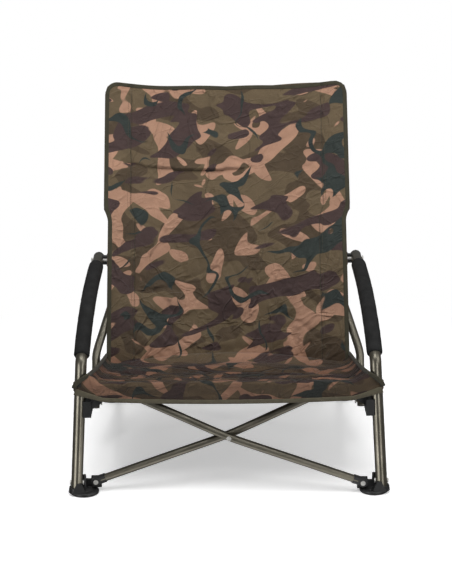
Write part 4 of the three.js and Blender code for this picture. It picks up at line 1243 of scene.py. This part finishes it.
# Each lamp: its place, what it points at, its size, its power and what it doesn't light.
lamps = {
    "key": ((-0.2, -1.1, 3.0), (0, 0.1, 0.4), (2.2, 2.8), 86, "gloss"),
    "top": ((0.1, 0.3, 2.6), (0, 0.1, 0.3), (2.6, 2.2), 20, "gloss"),
    "front": ((0.6, -3.0, 1.6), (0, 0, 0.3), (1.2, 0.9), 8, "gloss"),
    "side": ((2.3, -1.6, 1.5), (0, 0, 0.3), (2.0, 1.8), 18, ""),
    "highCard": ((0, -1.75, 2.5), (0, 0, 0.1), (2.4, 0.45), 20, "diffuse"),
    "floorCard": ((0, -0.385, 0.001), (0, -0.385, 1), (0.50, 0.13), 0.2, "diffuse"),
    "leftCard": ((-1.67, -2.0, -0.35), (0, 0, -0.35), (1.15, 2.2), 28, "diffuse"),
    "rightCard": ((1.22, -2.3, -0.35), (0, 0, -0.35), (0.75, 2.2), 15, "diffuse"),
}


def makeCamera():
    data = bpy.data.cameras.new("camera")
    data.sensor_fit = "HORIZONTAL"
    data.sensor_width = studio["sensor"]
    data.lens = studio["sensor"] * studio["focal"] / studio["frameWidth"]
    camera = bpy.data.objects.new("camera", data)
    bpy.context.scene.collection.objects.link(camera)
    camera.location = at(0, -studio["distance"], studio["height"])
    camera.location.x -= studio["shiftPixels"] * studio["distance"] / studio["focal"]
    tilt = Matrix.Rotation(math.radians(90 - studio["pitch"]), 3, "X")
    roll = Matrix.Rotation(math.radians(studio["roll"]), 3, "Z")
    camera.rotation_euler = (tilt @ roll).to_euler()
    bpy.context.scene.camera = camera


def makeLamp(name, place, target, size, power, spared):
    data = bpy.data.lights.new(name, "AREA")
    data.shape = "RECTANGLE"
    data.size, data.size_y = size
    data.energy = power
    lamp = bpy.data.objects.new(name, data)
    lamp.location = place
    lamp.rotation_euler = (Vector(target) - Vector(place)).to_track_quat("-Z", "Y").to_euler()
    lamp.visible_diffuse = spared != "diffuse"
    lamp.visible_glossy = spared != "gloss"
    lamp.visible_camera = False
    bpy.context.scene.collection.objects.link(lamp)


def makeFloor():
    bm = bmesh.new()
    bmesh.ops.create_grid(bm, x_segments=1, y_segments=1, size=studio["floorSize"])
    material, tree, bsdf = newMaterial("studio_floor", studio["floor"], 0.9)
    floor = toObject("studioFloor", bm, material)
    floor.location.z = -studio["floorDrop"]
    # Seen by the camera it glows, and far from the chair it is plain white.
    reach = addNode(tree, "ShaderNodeVectorMath", {0: coords(tree)}, operation="LENGTH").outputs["Value"]
    near, far = studio["floorNear"], studio["floorFar"]
    seen = addNode(tree, "ShaderNodeLightPath", {}).outputs["Is Camera Ray"]
    feed(tree, bsdf, {
        "Base Color": mixColour(tree, seen, studio["floorBounce"], studio["floor"]),
        "Emission Color": 1.0, "Emission Strength": times(tree, seen, studio["floorGlow"]),
    })
    white = addNode(tree, "ShaderNodeEmission", {"Color": 1.0})
    whiteShare = times(tree, step(tree, reach, (near + far) / 2, far - near), seen)
    values = {"Fac": whiteShare, 1: bsdf.outputs["BSDF"], 2: white.outputs["Emission"]}
    blend = addNode(tree, "ShaderNodeMixShader", values)
    feed(tree, tree.nodes["Material Output"], {"Surface": blend.outputs["Shader"]})
    floor.visible_glossy = False  # the tubes mirror the tall cards on both sides instead


def makeWorld():
    # The camera sees white, polished pieces see a darker room, everything else gets soft light.
    world = bpy.data.worlds.new("studio")
    bpy.context.scene.world = world
    world.use_nodes = True
    tree = world.node_tree
    rays = addNode(tree, "ShaderNodeLightPath", {})
    shade = mixColour(tree, rays.outputs["Is Glossy Ray"], studio["roomLight"], studio["roomForGloss"])
    shade = mixColour(tree, rays.outputs["Is Camera Ray"], shade, 1.0)
    feed(tree, tree.nodes["Background"], {"Color": shade, "Strength": 1.0})


makeCamera()
makeFloor()
makeWorld()
for name, lamp in lamps.items():
    makeLamp(name, *lamp)
bpy.context.scene.view_settings.view_transform = "Standard"
print("studio made")
